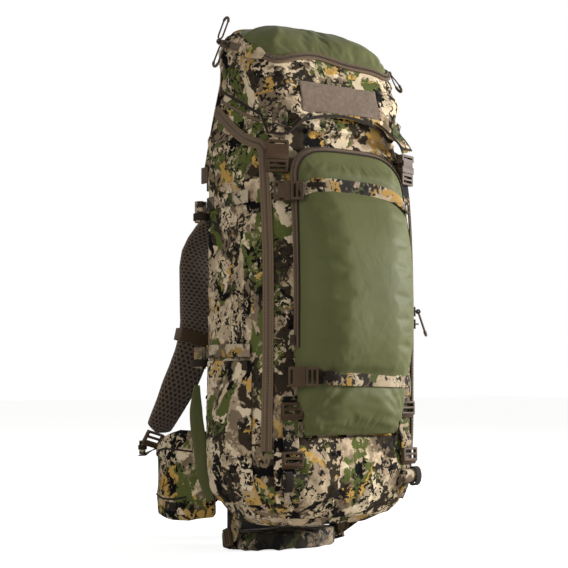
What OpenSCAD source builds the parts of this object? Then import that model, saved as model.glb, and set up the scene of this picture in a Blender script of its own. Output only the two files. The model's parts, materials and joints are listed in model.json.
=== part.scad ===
// Frame backpack for hunting: soft bag with a stuffed front pocket and a floating lid,
// carried on an aluminium frame with a shoulder harness and a hip belt.
// Millimetres. Origin: on the base shelf's underside, where the pack stands. The sizes below are drawn
// about the bag's middle line, and on_shelf() moves each part from there. +Z up, -Y is the pocket side,
// +Y is the wearer's side, -X is the wearer's left.

/* [Bag] */
// Width across the side panels
bag_w = 306; // [300:1:312]
// Front face of the bag, ahead of its middle line
bag_front = 100; // [96:1:104]
// Back face of the bag, behind its middle line
bag_back = 86; // [84:1:88]
// Height of the rim, measured over the middle line
bag_rim_z = 684; // [680:1:686]
// Lowest point of the bag above the floor
bag_floor_gap = 46; // [42:1:50]
// Thickness of the bag's sewn walls
wall = 2.5; // [1.5:0.5:3.5]
// Squareness of the bag's front corners
bag_square = 4.5; // [4:0.25:5]
// Squareness of the bag's sewn back corners
back_square = 10; // [8:0.5:12]

/* [Pockets] */
// How far the front pocket stays inside the bag's side panels
pocket_margin = 47; // [45:1:50]
// Height of the front pocket's lower edge
pocket_low_z = 186; // [182:1:190]
// How far below the bag's rim the front pocket ends
pocket_drop = 58; // [54:1:68]
// How far the stuffed front pocket stands out
pocket_bulge = 57; // [52:1:62]
// Radius of the front pocket's upper corners
pocket_corner = 50; // [40:1:60]
// How far the lower pocket stands out
lower_bulge = 12; // [8:1:14]
// How far the side pockets stand out
side_bulge = 11; // [8:1:12]
// Height of the side pockets' upper edge
side_pocket_top_z = 300; // [280:5:310]

/* [Lid] */
// Width of the lid
lid_w = 270; // [262:1:274]
// Height of the lid from its lower edge to its top
lid_h = 140; // [134:1:150]
// Height of the lid's lower edge above the bag's rim, measured over the middle line
lid_rise = 14; // [12:1:20]
// Length of the hook and loop patch
patch_l = 150; // [120:1:160]
// Height of the hook and loop patch
patch_h = 46; // [36:1:50]
// How far the hinge line through the rear lid bars lies below the bag's rim
hinge_drop = 75; // [70:1:80]
// Hinge line behind the bag's middle line
hinge_y = 106; // [104:1:108]
// How far the lid's front buckles sit in from the bag's side panels
lid_buckle_inset = 28; // [25:1:29]

/* [Frame] */
// Half distance between the frame stays
stay_x = 78; // [70:1:84]
// Width of a stay
stay_w = 20; // [16:1:24]
// Thickness of a stay
stay_t = 4; // [3:0.5:5]
// How far the stays end below the bag's rim
stay_drop = 44; // [40:1:54]
// Radius of the frame bolts
bolt_r = 2.5; // [2:0.25:3]
// Thickness of the plastic frame sheet
sheet_t = 2; // [1.5:0.5:2.5]
// Half width of the base shelf
shelf_x = 100; // [92:1:106]
// Furthest front point of the base shelf, behind the bag's middle line
shelf_front = 22; // [16:1:30]
// Height of the base shelf
shelf_h = 30; // [24:1:34]
// Thickness of the back pads
pad_t = 14; // [10:1:16]

/* [Harness] */
// Width of a shoulder pad
strap_pad_w = 66; // [56:1:70]
// Thickness of a shoulder pad
strap_pad_t = 14; // [10:1:16]
// How far the yoke's bar lies below the bag's rim
yoke_drop = 92; // [86:1:98]
// Radius of the yoke's bar
yoke_bar_r = 4; // [3.5:0.5:5]
// Radius of the bar that the haul loop hangs on
haul_bar_r = 3; // [2.5:0.25:3.25]
// Thickness of the hip belt pads
belt_t = 16; // [12:1:18]
// Radius of the haul loop's webbing roll
haul_r = 4.5; // [3.5:0.5:5]
// Half width of the haul loop
haul_x = 32; // [28:1:34]

/* [Webbing] */
// Width of the lid and lower straps
web_wide = 25; // [24:1:26]
// Width of the front compression straps
web_narrow = 20; // [18:1:21]
// Width of the hip belt's webbing
web_belt = 38; // [34:1:40]
// Thickness of all webbing
web_t = 1.6; // [1.2:0.1:2]
// Width of a zip's tape
tape_w = 24; // [20:1:25]

/* [Fits] */
// Space between neighbouring soft pieces
gap = 0.5; // [0.4:0.1:0.7]
// Radial clearance of a turning fit
turn_gap = 0.06; // [0.04:0.01:0.1]
// Clearance around a plug in its socket
plug_gap = 1; // [0.9:0.1:1.2]

/* [Hidden] */
$fn = 48;
eps = 0.01;

CAMO = [0.55, 0.5, 0.38];
GREEN = [0.3, 0.36, 0.2];
TAPE = [0.36, 0.29, 0.23];
BUCKLE = [0.3, 0.25, 0.21];
MESH = [0.25, 0.19, 0.14];
METAL = [0.7, 0.71, 0.73];
SHEET = [0.12, 0.12, 0.12];

// ---------------------------------------------------------------- vectors and curves

function unit(v) = v / norm(v);
function spow(c, p) = sign(c) * pow(abs(c), p);
function flip_x(p) = [-p[0], p[1], p[2]];

// Slope of column c at row i of a list of sections keyed by column 0.
function slope_at(k, i, c) =
    let (a = max(i - 1, 0), b = min(i + 1, len(k) - 1))
    (k[b][c] - k[a][c]) / (k[b][0] - k[a][0]);
function row_at(k, x, i = 0) = i >= len(k) - 2 || x < k[i + 1][0] ? i : row_at(k, x, i + 1);
// Smooth value of column c at key x.
function curve(k, x, c) =
    let (i = row_at(k, x), h = k[i + 1][0] - k[i][0], t = min(max((x - k[i][0]) / h, 0), 1),
         p = k[i][c], q = k[i + 1][c], m = h * slope_at(k, i, c), n = h * slope_at(k, i + 1, c))
    p * (2 * t * t * t - 3 * t * t + 1) + m * (t * t * t - 2 * t * t + t)
        + q * (3 * t * t - 2 * t * t * t) + n * (t * t * t - t * t);

// ---------------------------------------------------------------- solids from grids

function strip(a, b, n) = [for (i = [0 : n - 2]) each [[a + i, a + i + 1, b + i], [b + i, a + i + 1, b + i + 1]]];

// A closed slab between two grids of points, grid[row][column]. Seen from outside the outer
// grid, rows go up and columns go to the right.
module shell(outer, inner) {
    rows = len(outer);
    cols = len(outer[0]);
    n = rows * cols;
    function at(r, c) = r * cols + c;
    pts = [for (g = [outer, inner]) for (row = g) each row];
    faces = [
        for (r = [0 : rows - 2]) for (c = [0 : cols - 2]) each [
            [at(r, c), at(r + 1, c), at(r + 1, c + 1)],
            [at(r, c), at(r + 1, c + 1), at(r, c + 1)],
            [n + at(r, c), n + at(r + 1, c + 1), n + at(r + 1, c)],
            [n + at(r, c), n + at(r, c + 1), n + at(r + 1, c + 1)]],
        for (c = [0 : cols - 2]) each [
            [at(0, c), at(0, c + 1), n + at(0, c + 1)],
            [at(0, c), n + at(0, c + 1), n + at(0, c)],
            [at(rows - 1, c), n + at(rows - 1, c), n + at(rows - 1, c + 1)],
            [at(rows - 1, c), n + at(rows - 1, c + 1), at(rows - 1, c + 1)]],
        for (r = [0 : rows - 2]) each [
            [at(r, 0), n + at(r, 0), n + at(r + 1, 0)],
            [at(r, 0), n + at(r + 1, 0), at(r + 1, 0)],
            [at(r, cols - 1), at(r + 1, cols - 1), n + at(r + 1, cols - 1)],
            [at(r, cols - 1), n + at(r + 1, cols - 1), n + at(r, cols - 1)]]];
    polyhedron(pts, faces, convexity = 8);
}

// A closed solid through rings of points, each ring anticlockwise seen from the last one.
module skin(rings, loop = false) {
    n = len(rings);
    m = len(rings[0]);
    mid = [for (r = [rings[0], rings[n - 1]]) [for (k = [0 : 2]) (max([for (p = r) p[k]]) + min([for (p = r) p[k]])) / 2]];
    pts = concat([for (r = rings) each r], mid);
    last = loop ? n - 1 : n - 2;
    sides = [for (r = [0 : last]) for (i = [0 : m - 1])
        let (a = r * m + i, b = r * m + (i + 1) % m, c = ((r + 1) % n) * m + i,
             d = ((r + 1) % n) * m + (i + 1) % m)
        each [[a, c, d], [a, d, b]]];
    caps = loop ? [] : [for (i = [0 : m - 1]) let (j = (i + 1) % m, e = (n - 1) * m)
        each [[i, j, n * m], [e + j, e + i, n * m + 1]]];
    polyhedron(loop ? [for (r = rings) each r] : pts, concat(sides, caps), convexity = 8);
}

// Direction of a path at point i.
function along(p, i) = unit(p[min(i + 1, len(p) - 1)] - p[max(i - 1, 0)]);

// A band along a path: width w across it, from lo to hi along the outward direction out(i).
module band(path, outs, w, lo, hi) {
    last = len(path) - 1;
    function side(i) = unit(cross(along(path, i), outs[i]));
    function up(i) = unit(cross(side(i), along(path, i)));
    function row(i, d) = [for (s = [-1, 1]) path[i] + side(i) * s * w / 2 + up(i) * d];
    shell([for (i = [0 : last]) row(i, hi)], [for (i = [0 : last]) row(i, lo)]);
}

// A smooth path through chosen points, with n steps between each two of them.
function smooth_path(p, n) = let (last = len(p) - 1) [
    for (i = [0 : last - 1]) for (s = [0 : n - 1])
        let (t = s / n, a = p[max(i - 1, 0)], b = p[i], c = p[i + 1], d = p[min(i + 2, last)])
        0.5 * (2 * b + (c - a) * t + (2 * a - 5 * b + 4 * c - d) * t * t
            + (3 * b - a - 3 * c + d) * t * t * t),
    p[last]];

// Places children with their x along, y across and z outward of a point on a path.
module place(at, x_dir, out) {
    x = unit(x_dir);
    y = unit(cross(out, x));
    z = cross(x, y);
    multmatrix([[x[0], y[0], z[0], at[0]], [x[1], y[1], z[1], at[1]], [x[2], y[2], z[2], at[2]],
        [0, 0, 0, 1]]) children();
}

module both_sides() {
    children();
    mirror([1, 0, 0]) children();
}

// ---------------------------------------------------------------- the bag's surface

// Columns: level over the middle line, tilt to the back, half width, front, back, squareness at
// the front and at the back.
bag_sections = [
    [bag_floor_gap, 0, bag_w / 2 - 57, bag_front - 52, bag_back - 22, 3, 3],
    [bag_floor_gap + 16, 0, bag_w / 2 - 28, bag_front - 30, bag_back - 9, 3.5, 4],
    [bag_floor_gap + 46, 0, bag_w / 2 - 10, bag_front - 14, bag_back - 2, 4, 6],
    [bag_floor_gap + 90, 0, bag_w / 2 - 1, bag_front - 6, bag_back, bag_square, back_square],
    [300, 0, bag_w / 2, bag_front, bag_back, bag_square, back_square],
    [bag_rim_z - 234, 0, bag_w / 2, bag_front, bag_back, bag_square, back_square],
    [bag_rim_z - 124, 0, bag_w / 2, bag_front - 8, bag_back, bag_square, back_square],
    [bag_rim_z - 62, 0.12, bag_w / 2 - 3, bag_front - 18, bag_back, bag_square, back_square],
    [bag_rim_z - 26, 0.32, bag_w / 2 - 9, bag_front - 25, bag_back - 1, bag_square, back_square - 1],
    [bag_rim_z, 0.45, bag_w / 2 - 16, bag_front - 31, bag_back - 4, bag_square, back_square - 3]];
seam_low = bag_floor_gap + 16;
zip_angle = 221;
rear_angle = 135;

// A point on a closed section from sections k, at an angle and a level.
function section_point(k, angle, level) =
    let (hw = curve(k, level, 2), f = curve(k, level, 3), b = curve(k, level, 4),
         n = curve(k, level, sin(angle) < 0 ? 5 : 6),
         r = pow(pow(abs(cos(angle)), n) + pow(abs(sin(angle)), n), -1 / n),
         y = (b - f) / 2 + (b + f) / 2 * r * sin(angle))
    [hw * r * cos(angle), y, level + curve(k, level, 1) * y];
function section_out(k, angle, level) =
    unit(cross(section_point(k, angle + 0.5, level) - section_point(k, angle - 0.5, level),
        section_point(k, angle, level + 0.5) - section_point(k, angle, level - 0.5)));
function bag_point(angle, level, d = 0) =
    section_point(bag_sections, angle, level) + (d == 0 ? [0, 0, 0] : d * section_out(bag_sections, angle, level));
// Level of the section through a height z at depth y.
function level_of(k, y, z, n = 6) = n == 0 ? z : z - curve(k, level_of(k, y, z, n - 1), 1) * y;
function side_x(y, z) =
    let (l = level_of(bag_sections, y, z), f = curve(bag_sections, l, 3), b = curve(bag_sections, l, 4),
         s = (y - (b - f) / 2) / ((b + f) / 2), n = curve(bag_sections, l, s < 0 ? 5 : 6))
    curve(bag_sections, l, 2) * pow(max(1 - pow(abs(s), n), 0), 1 / n);
function front_y(x, z) =
    let (f = curve(bag_sections, z, 3), b = curve(bag_sections, z, 4), n = curve(bag_sections, z, 5),
         s = x / curve(bag_sections, z, 2))
    (b - f) / 2 - (b + f) / 2 * pow(max(1 - pow(abs(s), n), 0), 1 / n);

panel_levels = [seam_low, bag_floor_gap + 30, bag_floor_gap + 50, bag_floor_gap + 90, 200, 300, bag_rim_z - 284,
    bag_rim_z - 184, bag_rim_z - 114, bag_rim_z - 62, bag_rim_z - 42, bag_rim_z - 26, bag_rim_z];

module bag_panel(a0, a1, cols) {
    function grid(d) = [for (l = panel_levels) [for (c = [0 : cols]) bag_point(a0 + (a1 - a0) * c / cols, l, d)]];
    shell(grid(0), grid(-wall));
}

module bag_front_panel() { color(CAMO) bag_panel(zip_angle, 540 - zip_angle, 14); }
module bag_side_panel_left() { color(CAMO) bag_panel(rear_angle, zip_angle, 8); }
module bag_side_panel_right() { color(CAMO) bag_panel(540 - zip_angle, 540 - rear_angle, 8); }
module bag_back_panel() { color(SHEET) bag_panel(180 - rear_angle, rear_angle, 8); }

module bag_base_panel() {
    n = 40;
    levels = [bag_floor_gap, bag_floor_gap + 6, seam_low];
    color(CAMO) skin([for (l = levels) [for (i = [0 : n - 1]) bag_point(-360 * i / n, l)]]);
}

hem_r = 3;
module bag_rim_hem() {
    n = 36;
    sides = 8;
    color(TAPE) skin([for (i = [0 : n - 1])
        let (a = 360 * i / n, p = bag_point(a, bag_rim_z, -wall / 2), o = section_out(bag_sections, a, bag_rim_z),
             c = p + [0, 0, hem_r + gap])
        [for (j = [0 : sides - 1]) c + hem_r * (cos(360 * j / sides) * unit([o[0], o[1], 0])
            + sin(360 * j / sides) * [0, 0, 1])]], loop = true);
}

// ---------------------------------------------------------------- front pocket

pocket_square = 3;
pocket_wall = wall + 0.5;
pocket_hw = bag_w / 2 - pocket_margin;
pocket_top_z = bag_rim_z - pocket_drop;
// Columns: height, share of the bulge, half width.
pocket_sections = [
    [pocket_low_z, 0.2, pocket_hw - 20],
    [pocket_low_z + 24, 0.45, pocket_hw - 16],
    [272, 0.66, pocket_hw - 6],
    [330, 0.93, pocket_hw],
    [pocket_top_z - 226, 1, pocket_hw],
    [pocket_top_z - 146, 0.86, pocket_hw],
    [pocket_top_z - 70, 0.5, pocket_hw],
    [pocket_top_z - pocket_corner, 0.42, pocket_hw],
    [pocket_top_z, 0.16, pocket_hw]];
function pocket_half(z) =
    let (w = curve(pocket_sections, z, 2), s = z - (pocket_top_z - pocket_corner))
    s <= 0 ? w : w - pocket_corner + sqrt(max(pocket_corner * pocket_corner - s * s, 0));
// Point on the stuffed pocket: angle 0 is its right edge, 180 its left edge.
function pocket_point(angle, z, d = 0) =
    let (x = pocket_half(z) * spow(cos(angle), 2 / pocket_square),
         deep = pocket_bulge * curve(pocket_sections, z, 1) * spow(sin(angle), 2 / pocket_square))
    [x + d * cos(angle), front_y(x, z) - gap - 4 - deep - d * sin(angle), z];

pocket_rows = [for (s = [0 : 13]) pocket_low_z + (pocket_top_z - 44 - pocket_low_z) * s / 13,
    pocket_top_z - 28, pocket_top_z - 14, pocket_top_z - 5, pocket_top_z];
module front_pocket() {
    cols = 16;
    function grid(d) = [for (z = pocket_rows) [for (c = [0 : cols]) pocket_point(180 - 180 * c / cols, z, d)]];
    color(GREEN) shell(grid(0), grid(-pocket_wall));
}

// The lower pocket wraps round the bag's lower front between the main zips.
lower_top_z = pocket_low_z - 2;
lower_a0 = zip_angle + 4;
function lower_out(angle, l) = let (u = (angle - lower_a0) / (540 - 2 * lower_a0), v = (l - seam_low) / (lower_top_z - seam_low))
    gap + 2.5 + lower_bulge * pow(max(sin(180 * u), 0), 0.5) * pow(max(sin(20 + 150 * v), 0), 0.7);
module lower_front_pocket() {
    cols = 14;
    levels = [for (s = [0 : 7]) seam_low + 3 + (lower_top_z - seam_low - 3) * s / 7];
    function angle(c) = lower_a0 + (540 - 2 * lower_a0) * c / cols;
    color(CAMO) shell(
        [for (l = levels) [for (c = [0 : cols]) bag_point(angle(c), l, lower_out(angle(c), l))]],
        [for (l = levels) [for (c = [0 : cols]) bag_point(angle(c), l, gap + 0.4)]]);
}

// ---------------------------------------------------------------- side pockets and wings

side_pocket_low_z = bag_floor_gap + 36;
side_pocket_front = 58;
side_pocket_back = 66;
function side_out(y, z) =
    let (u = (y + side_pocket_front) / (side_pocket_front + side_pocket_back),
         v = (z - side_pocket_low_z) / (side_pocket_top_z - side_pocket_low_z))
    gap + 3 + side_bulge * pow(max(sin(180 * u), 0), 0.6) * pow(max(sin(180 * min(0.08 + 0.87 * v, 0.95)), 0), 0.5);
module side_pocket() {
    cols = 12;
    rows = 10;
    function y(c) = side_pocket_back - (side_pocket_front + side_pocket_back) * c / cols;
    function z(r) = side_pocket_low_z + (side_pocket_top_z - side_pocket_low_z) * r / rows;
    function point(r, c, d) = [-side_x(y(c), z(r)) - d, y(c), z(r)];
    shell([for (r = [0 : rows]) [for (c = [0 : cols]) point(r, c, side_out(y(c), z(r)))]],
        [for (r = [0 : rows]) [for (c = [0 : cols]) point(r, c, gap + 1.3)]]);
}
module side_pocket_left() { color(CAMO) side_pocket(); }
module side_pocket_right() { color(CAMO) mirror([1, 0, 0]) side_pocket(); }

// Green strips between the bag's lower back edges and the frame.
wing_w = 16;
module side_wings() {
    path = smooth_path([
        [-bag_w / 2 - 4, bag_back + 10, 262],
        [-bag_w / 2 - 6, bag_back + 9, 215],
        [-bag_w / 2 + 2, bag_back + 9, 165],
        [-bag_w / 2 + 4, bag_back + 8, 120],
        [-bag_w / 2 + 22, bag_back + 6, 78]], 3);
    color(GREEN) both_sides() band(path, [for (p = path) [0.25, 1, 0]], wing_w, 0, web_t);
}

// ---------------------------------------------------------------- zips

tape_t = 1.2;
coil_w = 5;
coil_t = 1.8;
main_zip_low_z = 164;
main_zip_turn_z = bag_rim_z - 44;
main_zip_rise = 34;
zip_lift = gap + 1.2;
// Section of a zip: its tape with the coil standing on it, as [across, outward].
function zip_section(w, c, lift) = let (t = lift + tape_t, h = t + coil_t)
    [[-w, lift], [-w, t], [-c, t], [-c, h], [c, h], [c, t], [w, t], [w, lift]];
module zip_tape(path, outs, w, lift) {
    function ring(i) = let (a = along(path, i), side = unit(cross(a, outs[i])), up = cross(side, a))
        [for (q = zip_section(w / 2, coil_w / 2, lift)) path[i] + side * q[0] + up * q[1]];
    skin([for (i = [0 : len(path) - 1]) ring(i)]);
}
zip_start = section_point(bag_sections, zip_angle, 300);
// Left main zip: straight up the front corner, then slanting back over the side. Each stop is
// an angle and a level on the bag.
main_zip_stops = concat([for (l = [main_zip_low_z, 200, 240, 300]) [zip_angle, l]],
    [for (d = [190, 120, 80, 40, 12]) [zip_angle, main_zip_turn_z - d]],
    [for (s = [0 : 10]) [zip_angle - 3 + (rear_angle + 6 - zip_angle + 3) * s / 10, main_zip_turn_z + main_zip_rise * s / 10]]);
main_zip_path = [for (p = main_zip_stops) bag_point(p[0], p[1])];
function bag_out_at(angle, level) = section_out(bag_sections, angle, level);
module main_zips() {
    color(TAPE) both_sides()
        zip_tape(main_zip_path, [for (p = main_zip_stops) bag_out_at(p[0], p[1])], tape_w, zip_lift);
}

// The pocket zip stands on the pocket's own side wall, up one side, over the top and down.
pocket_tape_w = 15;
zip_low_z = 316;
pocket_zip_side = [for (s = [0 : 6]) [-pocket_hw, 0, zip_low_z + (pocket_top_z - pocket_corner - zip_low_z) * s / 6]];
pocket_zip_turn = [for (a = [75 : -15 : 0]) [-pocket_hw + pocket_corner - pocket_corner * sin(a), 0,
    pocket_top_z - pocket_corner + pocket_corner * cos(a)]];
function pocket_zip_line() = let (half = concat(pocket_zip_side, pocket_zip_turn, [[-20, 0, pocket_top_z]]))
    concat(half, [for (i = [len(half) - 1 : -1 : 0]) flip_x(half[i])]);
function ring_out(p) = p[2] <= pocket_top_z - pocket_corner ? [sign(p[0]), 0, 0]
    : abs(p[0]) < pocket_hw - pocket_corner ? [0, 0, 1]
    : unit([p[0] - sign(p[0]) * (pocket_hw - pocket_corner), 0, p[2] - pocket_top_z + pocket_corner]);
module pocket_zip() {
    line = pocket_zip_line();
    function at(i, d, up) = let (p = line[i], o = ring_out(p), q = p + o * d)
        [q[0], front_y(p[0] * 0.99, min(p[2], pocket_top_z)) - gap - up, q[2]];
    function ring(i) = [for (q = zip_section((pocket_tape_w - 1) / 2, coil_w / 2, gap + 0.4)) at(i, q[1], pocket_tape_w / 2 + q[0])];
    color(TAPE) skin([for (i = [0 : len(line) - 1]) ring(i)]);
}

// ---------------------------------------------------------------- frame

back_plane = bag_back + 1.5;
stay_y = back_plane + sheet_t + gap;
bar_y = stay_y + stay_t + gap;
bar_t = 3;
stay_top_z = bag_rim_z - stay_drop;
bolt_z = [60, 300, stay_top_z - 80];
module frame_sheet() {
    hw = stay_x + stay_w / 2 + 14;
    color(SHEET) difference() {
        translate([-hw, back_plane, shelf_h + gap]) cube([2 * hw, sheet_t, stay_top_z - 30 - shelf_h]);
        for (z = bolt_z, s = [-1, 1])
            translate([s * stay_x, back_plane - 1, z]) rotate([-90, 0, 0]) cylinder(r = bolt_r + plug_gap, h = sheet_t + 2);
        for (z = [170, stay_top_z - 210])
            translate([-hw + 22, back_plane - 1, z]) cube([2 * hw - 44, sheet_t + 2, 12]);
    }
}

module frame_stays() {
    color(METAL) both_sides() difference() {
        union() {
            translate([stay_x - stay_w / 2, stay_y, shelf_h + gap])
                cube([stay_w, stay_t, stay_top_z - stay_w / 2 - shelf_h - gap]);
            translate([stay_x, stay_y, stay_top_z - stay_w / 2]) rotate([-90, 0, 0]) cylinder(d = stay_w, h = stay_t);
        }
        for (z = bolt_z)
            translate([stay_x, stay_y - 1, z]) rotate([-90, 0, 0]) cylinder(r = bolt_r + turn_gap, h = stay_t + 2);
    }
}

yoke_bar_y = bar_y + bar_t + yoke_bar_r + 3;
yoke_bar_hx = 40;
yoke_z = bag_rim_z - yoke_drop;
haul_z = yoke_z + 60;
module frame_crossbars() {
    bar_h = 24;
    hw = stay_x + stay_w / 2;
    color(METAL) {
        for (z = bolt_z) difference() {
            translate([-hw, bar_y, z - bar_h / 2]) cube([2 * hw, bar_t, bar_h]);
            for (s = [-1, 1])
                translate([s * stay_x, bar_y - 1, z]) rotate([-90, 0, 0]) cylinder(r = bolt_r + turn_gap, h = bar_t + 2);
        }
        // yoke bar and haul bar between two lugs that stand on the upper crossbar
        translate([-yoke_bar_hx - 5, yoke_bar_y, yoke_z]) rotate([0, 90, 0]) cylinder(r = yoke_bar_r, h = 2 * yoke_bar_hx + 10);
        translate([-yoke_bar_hx - 5, yoke_bar_y, haul_z]) rotate([0, 90, 0]) cylinder(r = haul_bar_r, h = 2 * yoke_bar_hx + 10);
        for (s = [-1, 1]) translate([s * (yoke_bar_hx + 5) - 3, bar_y, bolt_z[2] - bar_h / 2])
            cube([6, bar_t, haul_z - bolt_z[2] + bar_h / 2 + 5]);
        for (s = [-1, 1], z = [yoke_z, haul_z]) translate([s * (yoke_bar_hx + 5) - 3, bar_y, z - 5])
            cube([6, yoke_bar_y - bar_y + yoke_bar_r + 1, 10]);
    }
}

module frame_bolts() {
    grip = sheet_t + stay_t + bar_t + 2 * gap;
    color(METAL) both_sides() for (z = bolt_z) translate([stay_x, back_plane, z]) rotate([-90, 0, 0]) {
        translate([0, 0, sheet_t + gap - 0.4]) cylinder(r = bolt_r, h = grip - sheet_t - gap + 2.4);
        translate([0, 0, grip + gap / 2]) cylinder(r = bolt_r * 1.8, h = 2);
    }
}

pad_y = bar_y + bar_t + 2.5;
shelf_back = pad_y + pad_t;
module rounded_plate(x, y0, y1, r) {
    translate([-x, y0 + r]) square([2 * x, y1 - y0 - 2 * r]);
    translate([-x + r, y0]) square([2 * x - 2 * r, y1 - y0]);
    for (sx = [-1, 1], y = [y0 + r, y1 - r]) translate([sx * (x - r), y]) circle(r);
}
// The shelf's front edge is one long curve, furthest forward in the middle.
shelf_side_y = 58;
shelf_arc_r = (pow(shelf_x - 8, 2) + pow(shelf_side_y - shelf_front, 2)) / (2 * (shelf_side_y - shelf_front));
module base_shelf() {
    color(CAMO) linear_extrude(shelf_h) intersection() {
        rounded_plate(shelf_x, shelf_front - 4, shelf_back, 12);
        translate([0, shelf_front + shelf_arc_r]) circle(shelf_arc_r, $fn = 120);
    }
}

// Back pads stand on the frame with rounded corners, seen from behind.
module pad_block(hw, z0, z1, r, y0, t) {
    translate([0, y0 + t, 0]) rotate([90, 0, 0]) linear_extrude(t) rounded_plate(hw, z0, z1, r);
}
lumbar_hx = 98;
module back_pads() {
    color(MESH) {
        both_sides() translate([62, 0, 0]) {
            pad_block(38, 240, 372, 18, pad_y, pad_t);
            pad_block(38, 386, yoke_z - 84, 18, pad_y, pad_t);
        }
        pad_block(lumbar_hx, 46, 196, 24, pad_y, pad_t + 6);
    }
}
// ---------------------------------------------------------------- buckles, locks, rolls

socket_t = 9;
cavity_t = 5.6;
function socket_l(w) = w * 0.85 + 8;
plug_arm_l = 15;
// Socket of a side release buckle for webbing w: mouth at x = 0, body towards -x.
module socket(w) {
    hw = w / 2 + 5;
    l = socket_l(w);
    translate([0, 0, socket_t / 2 + gap]) difference() {
        union() {
            translate([-l, -hw + 3, -socket_t / 2]) cube([l, 2 * hw - 6, socket_t]);
            translate([-l + 3, -hw, -socket_t / 2]) cube([l - 3, 2 * hw, socket_t]);
            for (s = [-1, 1]) translate([-l + 3, s * (hw - 3), -socket_t / 2]) cylinder(r = 3, h = socket_t);
        }
        translate([-plug_arm_l - 2, -w / 2 - 2, -cavity_t / 2]) cube([plug_arm_l + 3, w + 4, cavity_t]);
        for (s = [-1, 1]) translate([-plug_arm_l, s * (hw - 1) - 3, -cavity_t / 2]) cube([8, 6, cavity_t]);
        translate([-l + 3.5, -w / 2 - 0.5, -socket_t / 2 - 1]) cube([3, w + 1, socket_t + 2]);
    }
}
// Plug of a side release buckle: arms towards -x, ladder frame towards +x.
plug_frame_l = 19;
module plug(w) {
    hw = w / 2 + 4;
    t = cavity_t - 2 * plug_gap;
    translate([0, 0, socket_t / 2 + gap]) {
        translate([gap, -hw, -socket_t / 2 + 1]) difference() {
            cube([plug_frame_l, 2 * hw, socket_t - 2]);
            translate([4.5, 4, -1]) cube([4, 2 * hw - 8, socket_t]);
            translate([11.5, 4, -1]) cube([4, 2 * hw - 8, socket_t]);
        }
        for (s = [-1, 1]) {
            translate([-plug_arm_l + 2, s * (w / 2 - 1.2) - 1.6, -t / 2]) cube([plug_arm_l + 3, 3.2, t]);
            translate([-plug_arm_l + 3, s * (w / 2 - 1.2), -t / 2]) cylinder(r = 2.2, h = t);
        }
        translate([-plug_arm_l + 4, -1.5, -t / 2]) cube([plug_arm_l + 1, 3, t]);
    }
}
lock_l = 26;
lock_t = 6;
// Ladder lock for webbing w, lying along x with its lifting tab at +x.
module ladder_lock(w) {
    hw = w / 2 + 4.5;
    translate([-lock_l / 2, -hw, web_t + 2 * gap]) difference() {
        cube([lock_l, 2 * hw, lock_t]);
        translate([3.5, 4, -1]) cube([5, 2 * hw - 8, lock_t + 2]);
        translate([12, 4, -1]) cube([5, 2 * hw - 8, lock_t + 2]);
        translate([lock_l - 5, -1, lock_t - 2]) rotate([0, 20, 0]) cube([8, 2 * hw + 2, 6]);
    }
}
// A rolled webbing tail held by an elastic band, lying across x.
roll_r = 7;
module webbing_roll(w) {
    translate([0, -w / 2, roll_r + web_t + 2 * gap]) rotate([-90, 0, 0]) cylinder(r = roll_r, h = w);
}

// ---------------------------------------------------------------- straps on the bag

// Points of a front strap over the pocket: heights at the left, middle and right.
upper_strap_z = [pocket_top_z - 73, pocket_top_z - 62, pocket_top_z - 94];
lower_strap_z = [275, 270, 268];
upper_ends = [156, 22];
strap_rise = gap + 3;
lower_ends = [143, 22];
function strap_z(z, u) = z[0] * (1 - u) * (1 - 2 * u) + z[1] * 4 * u * (1 - u) + z[2] * u * (2 * u - 1);
strap_set_back = 2;
module front_strap(z, ends) {
    first = ends[0] - strap_set_back;
    angles = [for (i = [0 : 14]) first + (ends[1] - first) * i / 14];
    path = [for (i = [0 : 14]) pocket_point(angles[i], strap_z(z, i / 14))];
    color(CAMO) band(path, [for (a = angles) [cos(a), -sin(a), 0]], web_narrow, strap_rise, strap_rise + web_t);
}
module front_strap_upper() { front_strap(upper_strap_z, upper_ends); }
module front_strap_lower() { front_strap(lower_strap_z, lower_ends); }

// Each strap's left end carries a plug whose socket is sewn beside the pocket. The buckles lie
// over the pocket's left edge, a little in front of it.
buckle_dir = unit([0.8, -0.6, 0]);
buckle_out = unit([-0.6, -0.8, 0]);
buckle_back = plug_frame_l - 3;
buckle_rise = 6.6;
module at_strap_buckle(z, ends) {
    place(pocket_point(ends[0], z[0]) + buckle_out * buckle_rise, buckle_dir, buckle_out) translate([-buckle_back, 0, 0]) children();
}
module strap_sockets() {
    color(BUCKLE) {
        at_strap_buckle(upper_strap_z, upper_ends) socket(web_narrow);
        at_strap_buckle(lower_strap_z, lower_ends) socket(web_narrow);
    }
}
module upper_strap_plug() { color(BUCKLE) at_strap_buckle(upper_strap_z, upper_ends) plug(web_narrow); }
module lower_strap_plug() { color(BUCKLE) at_strap_buckle(lower_strap_z, lower_ends) plug(web_narrow); }

// Two straps down the lower front, each with two ladder locks.
lower_strap_inset = 31;
lower_strap_angle = 180 + acos(pow(1 - lower_strap_inset / (bag_w / 2), bag_square / 2));
lock_levels = [224, 152];
function lower_strap_out(l) = max(gap + 3, l > lower_top_z ? 0 : lower_out(lower_strap_angle, l) + 2);
lower_strap_path = [for (l = [246 : -12 : 90]) bag_point(lower_strap_angle, l, lower_strap_out(l))];
lower_strap_dir = section_out(bag_sections, lower_strap_angle, 200);
module lower_straps() {
    color(CAMO) both_sides() band(lower_strap_path, [for (p = lower_strap_path) lower_strap_dir], web_wide, gap, gap + web_t);
}
function on_lower_strap(l) = bag_point(lower_strap_angle, l, max(lower_strap_out(l + 10), lower_strap_out(l - 10)) + gap);

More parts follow.
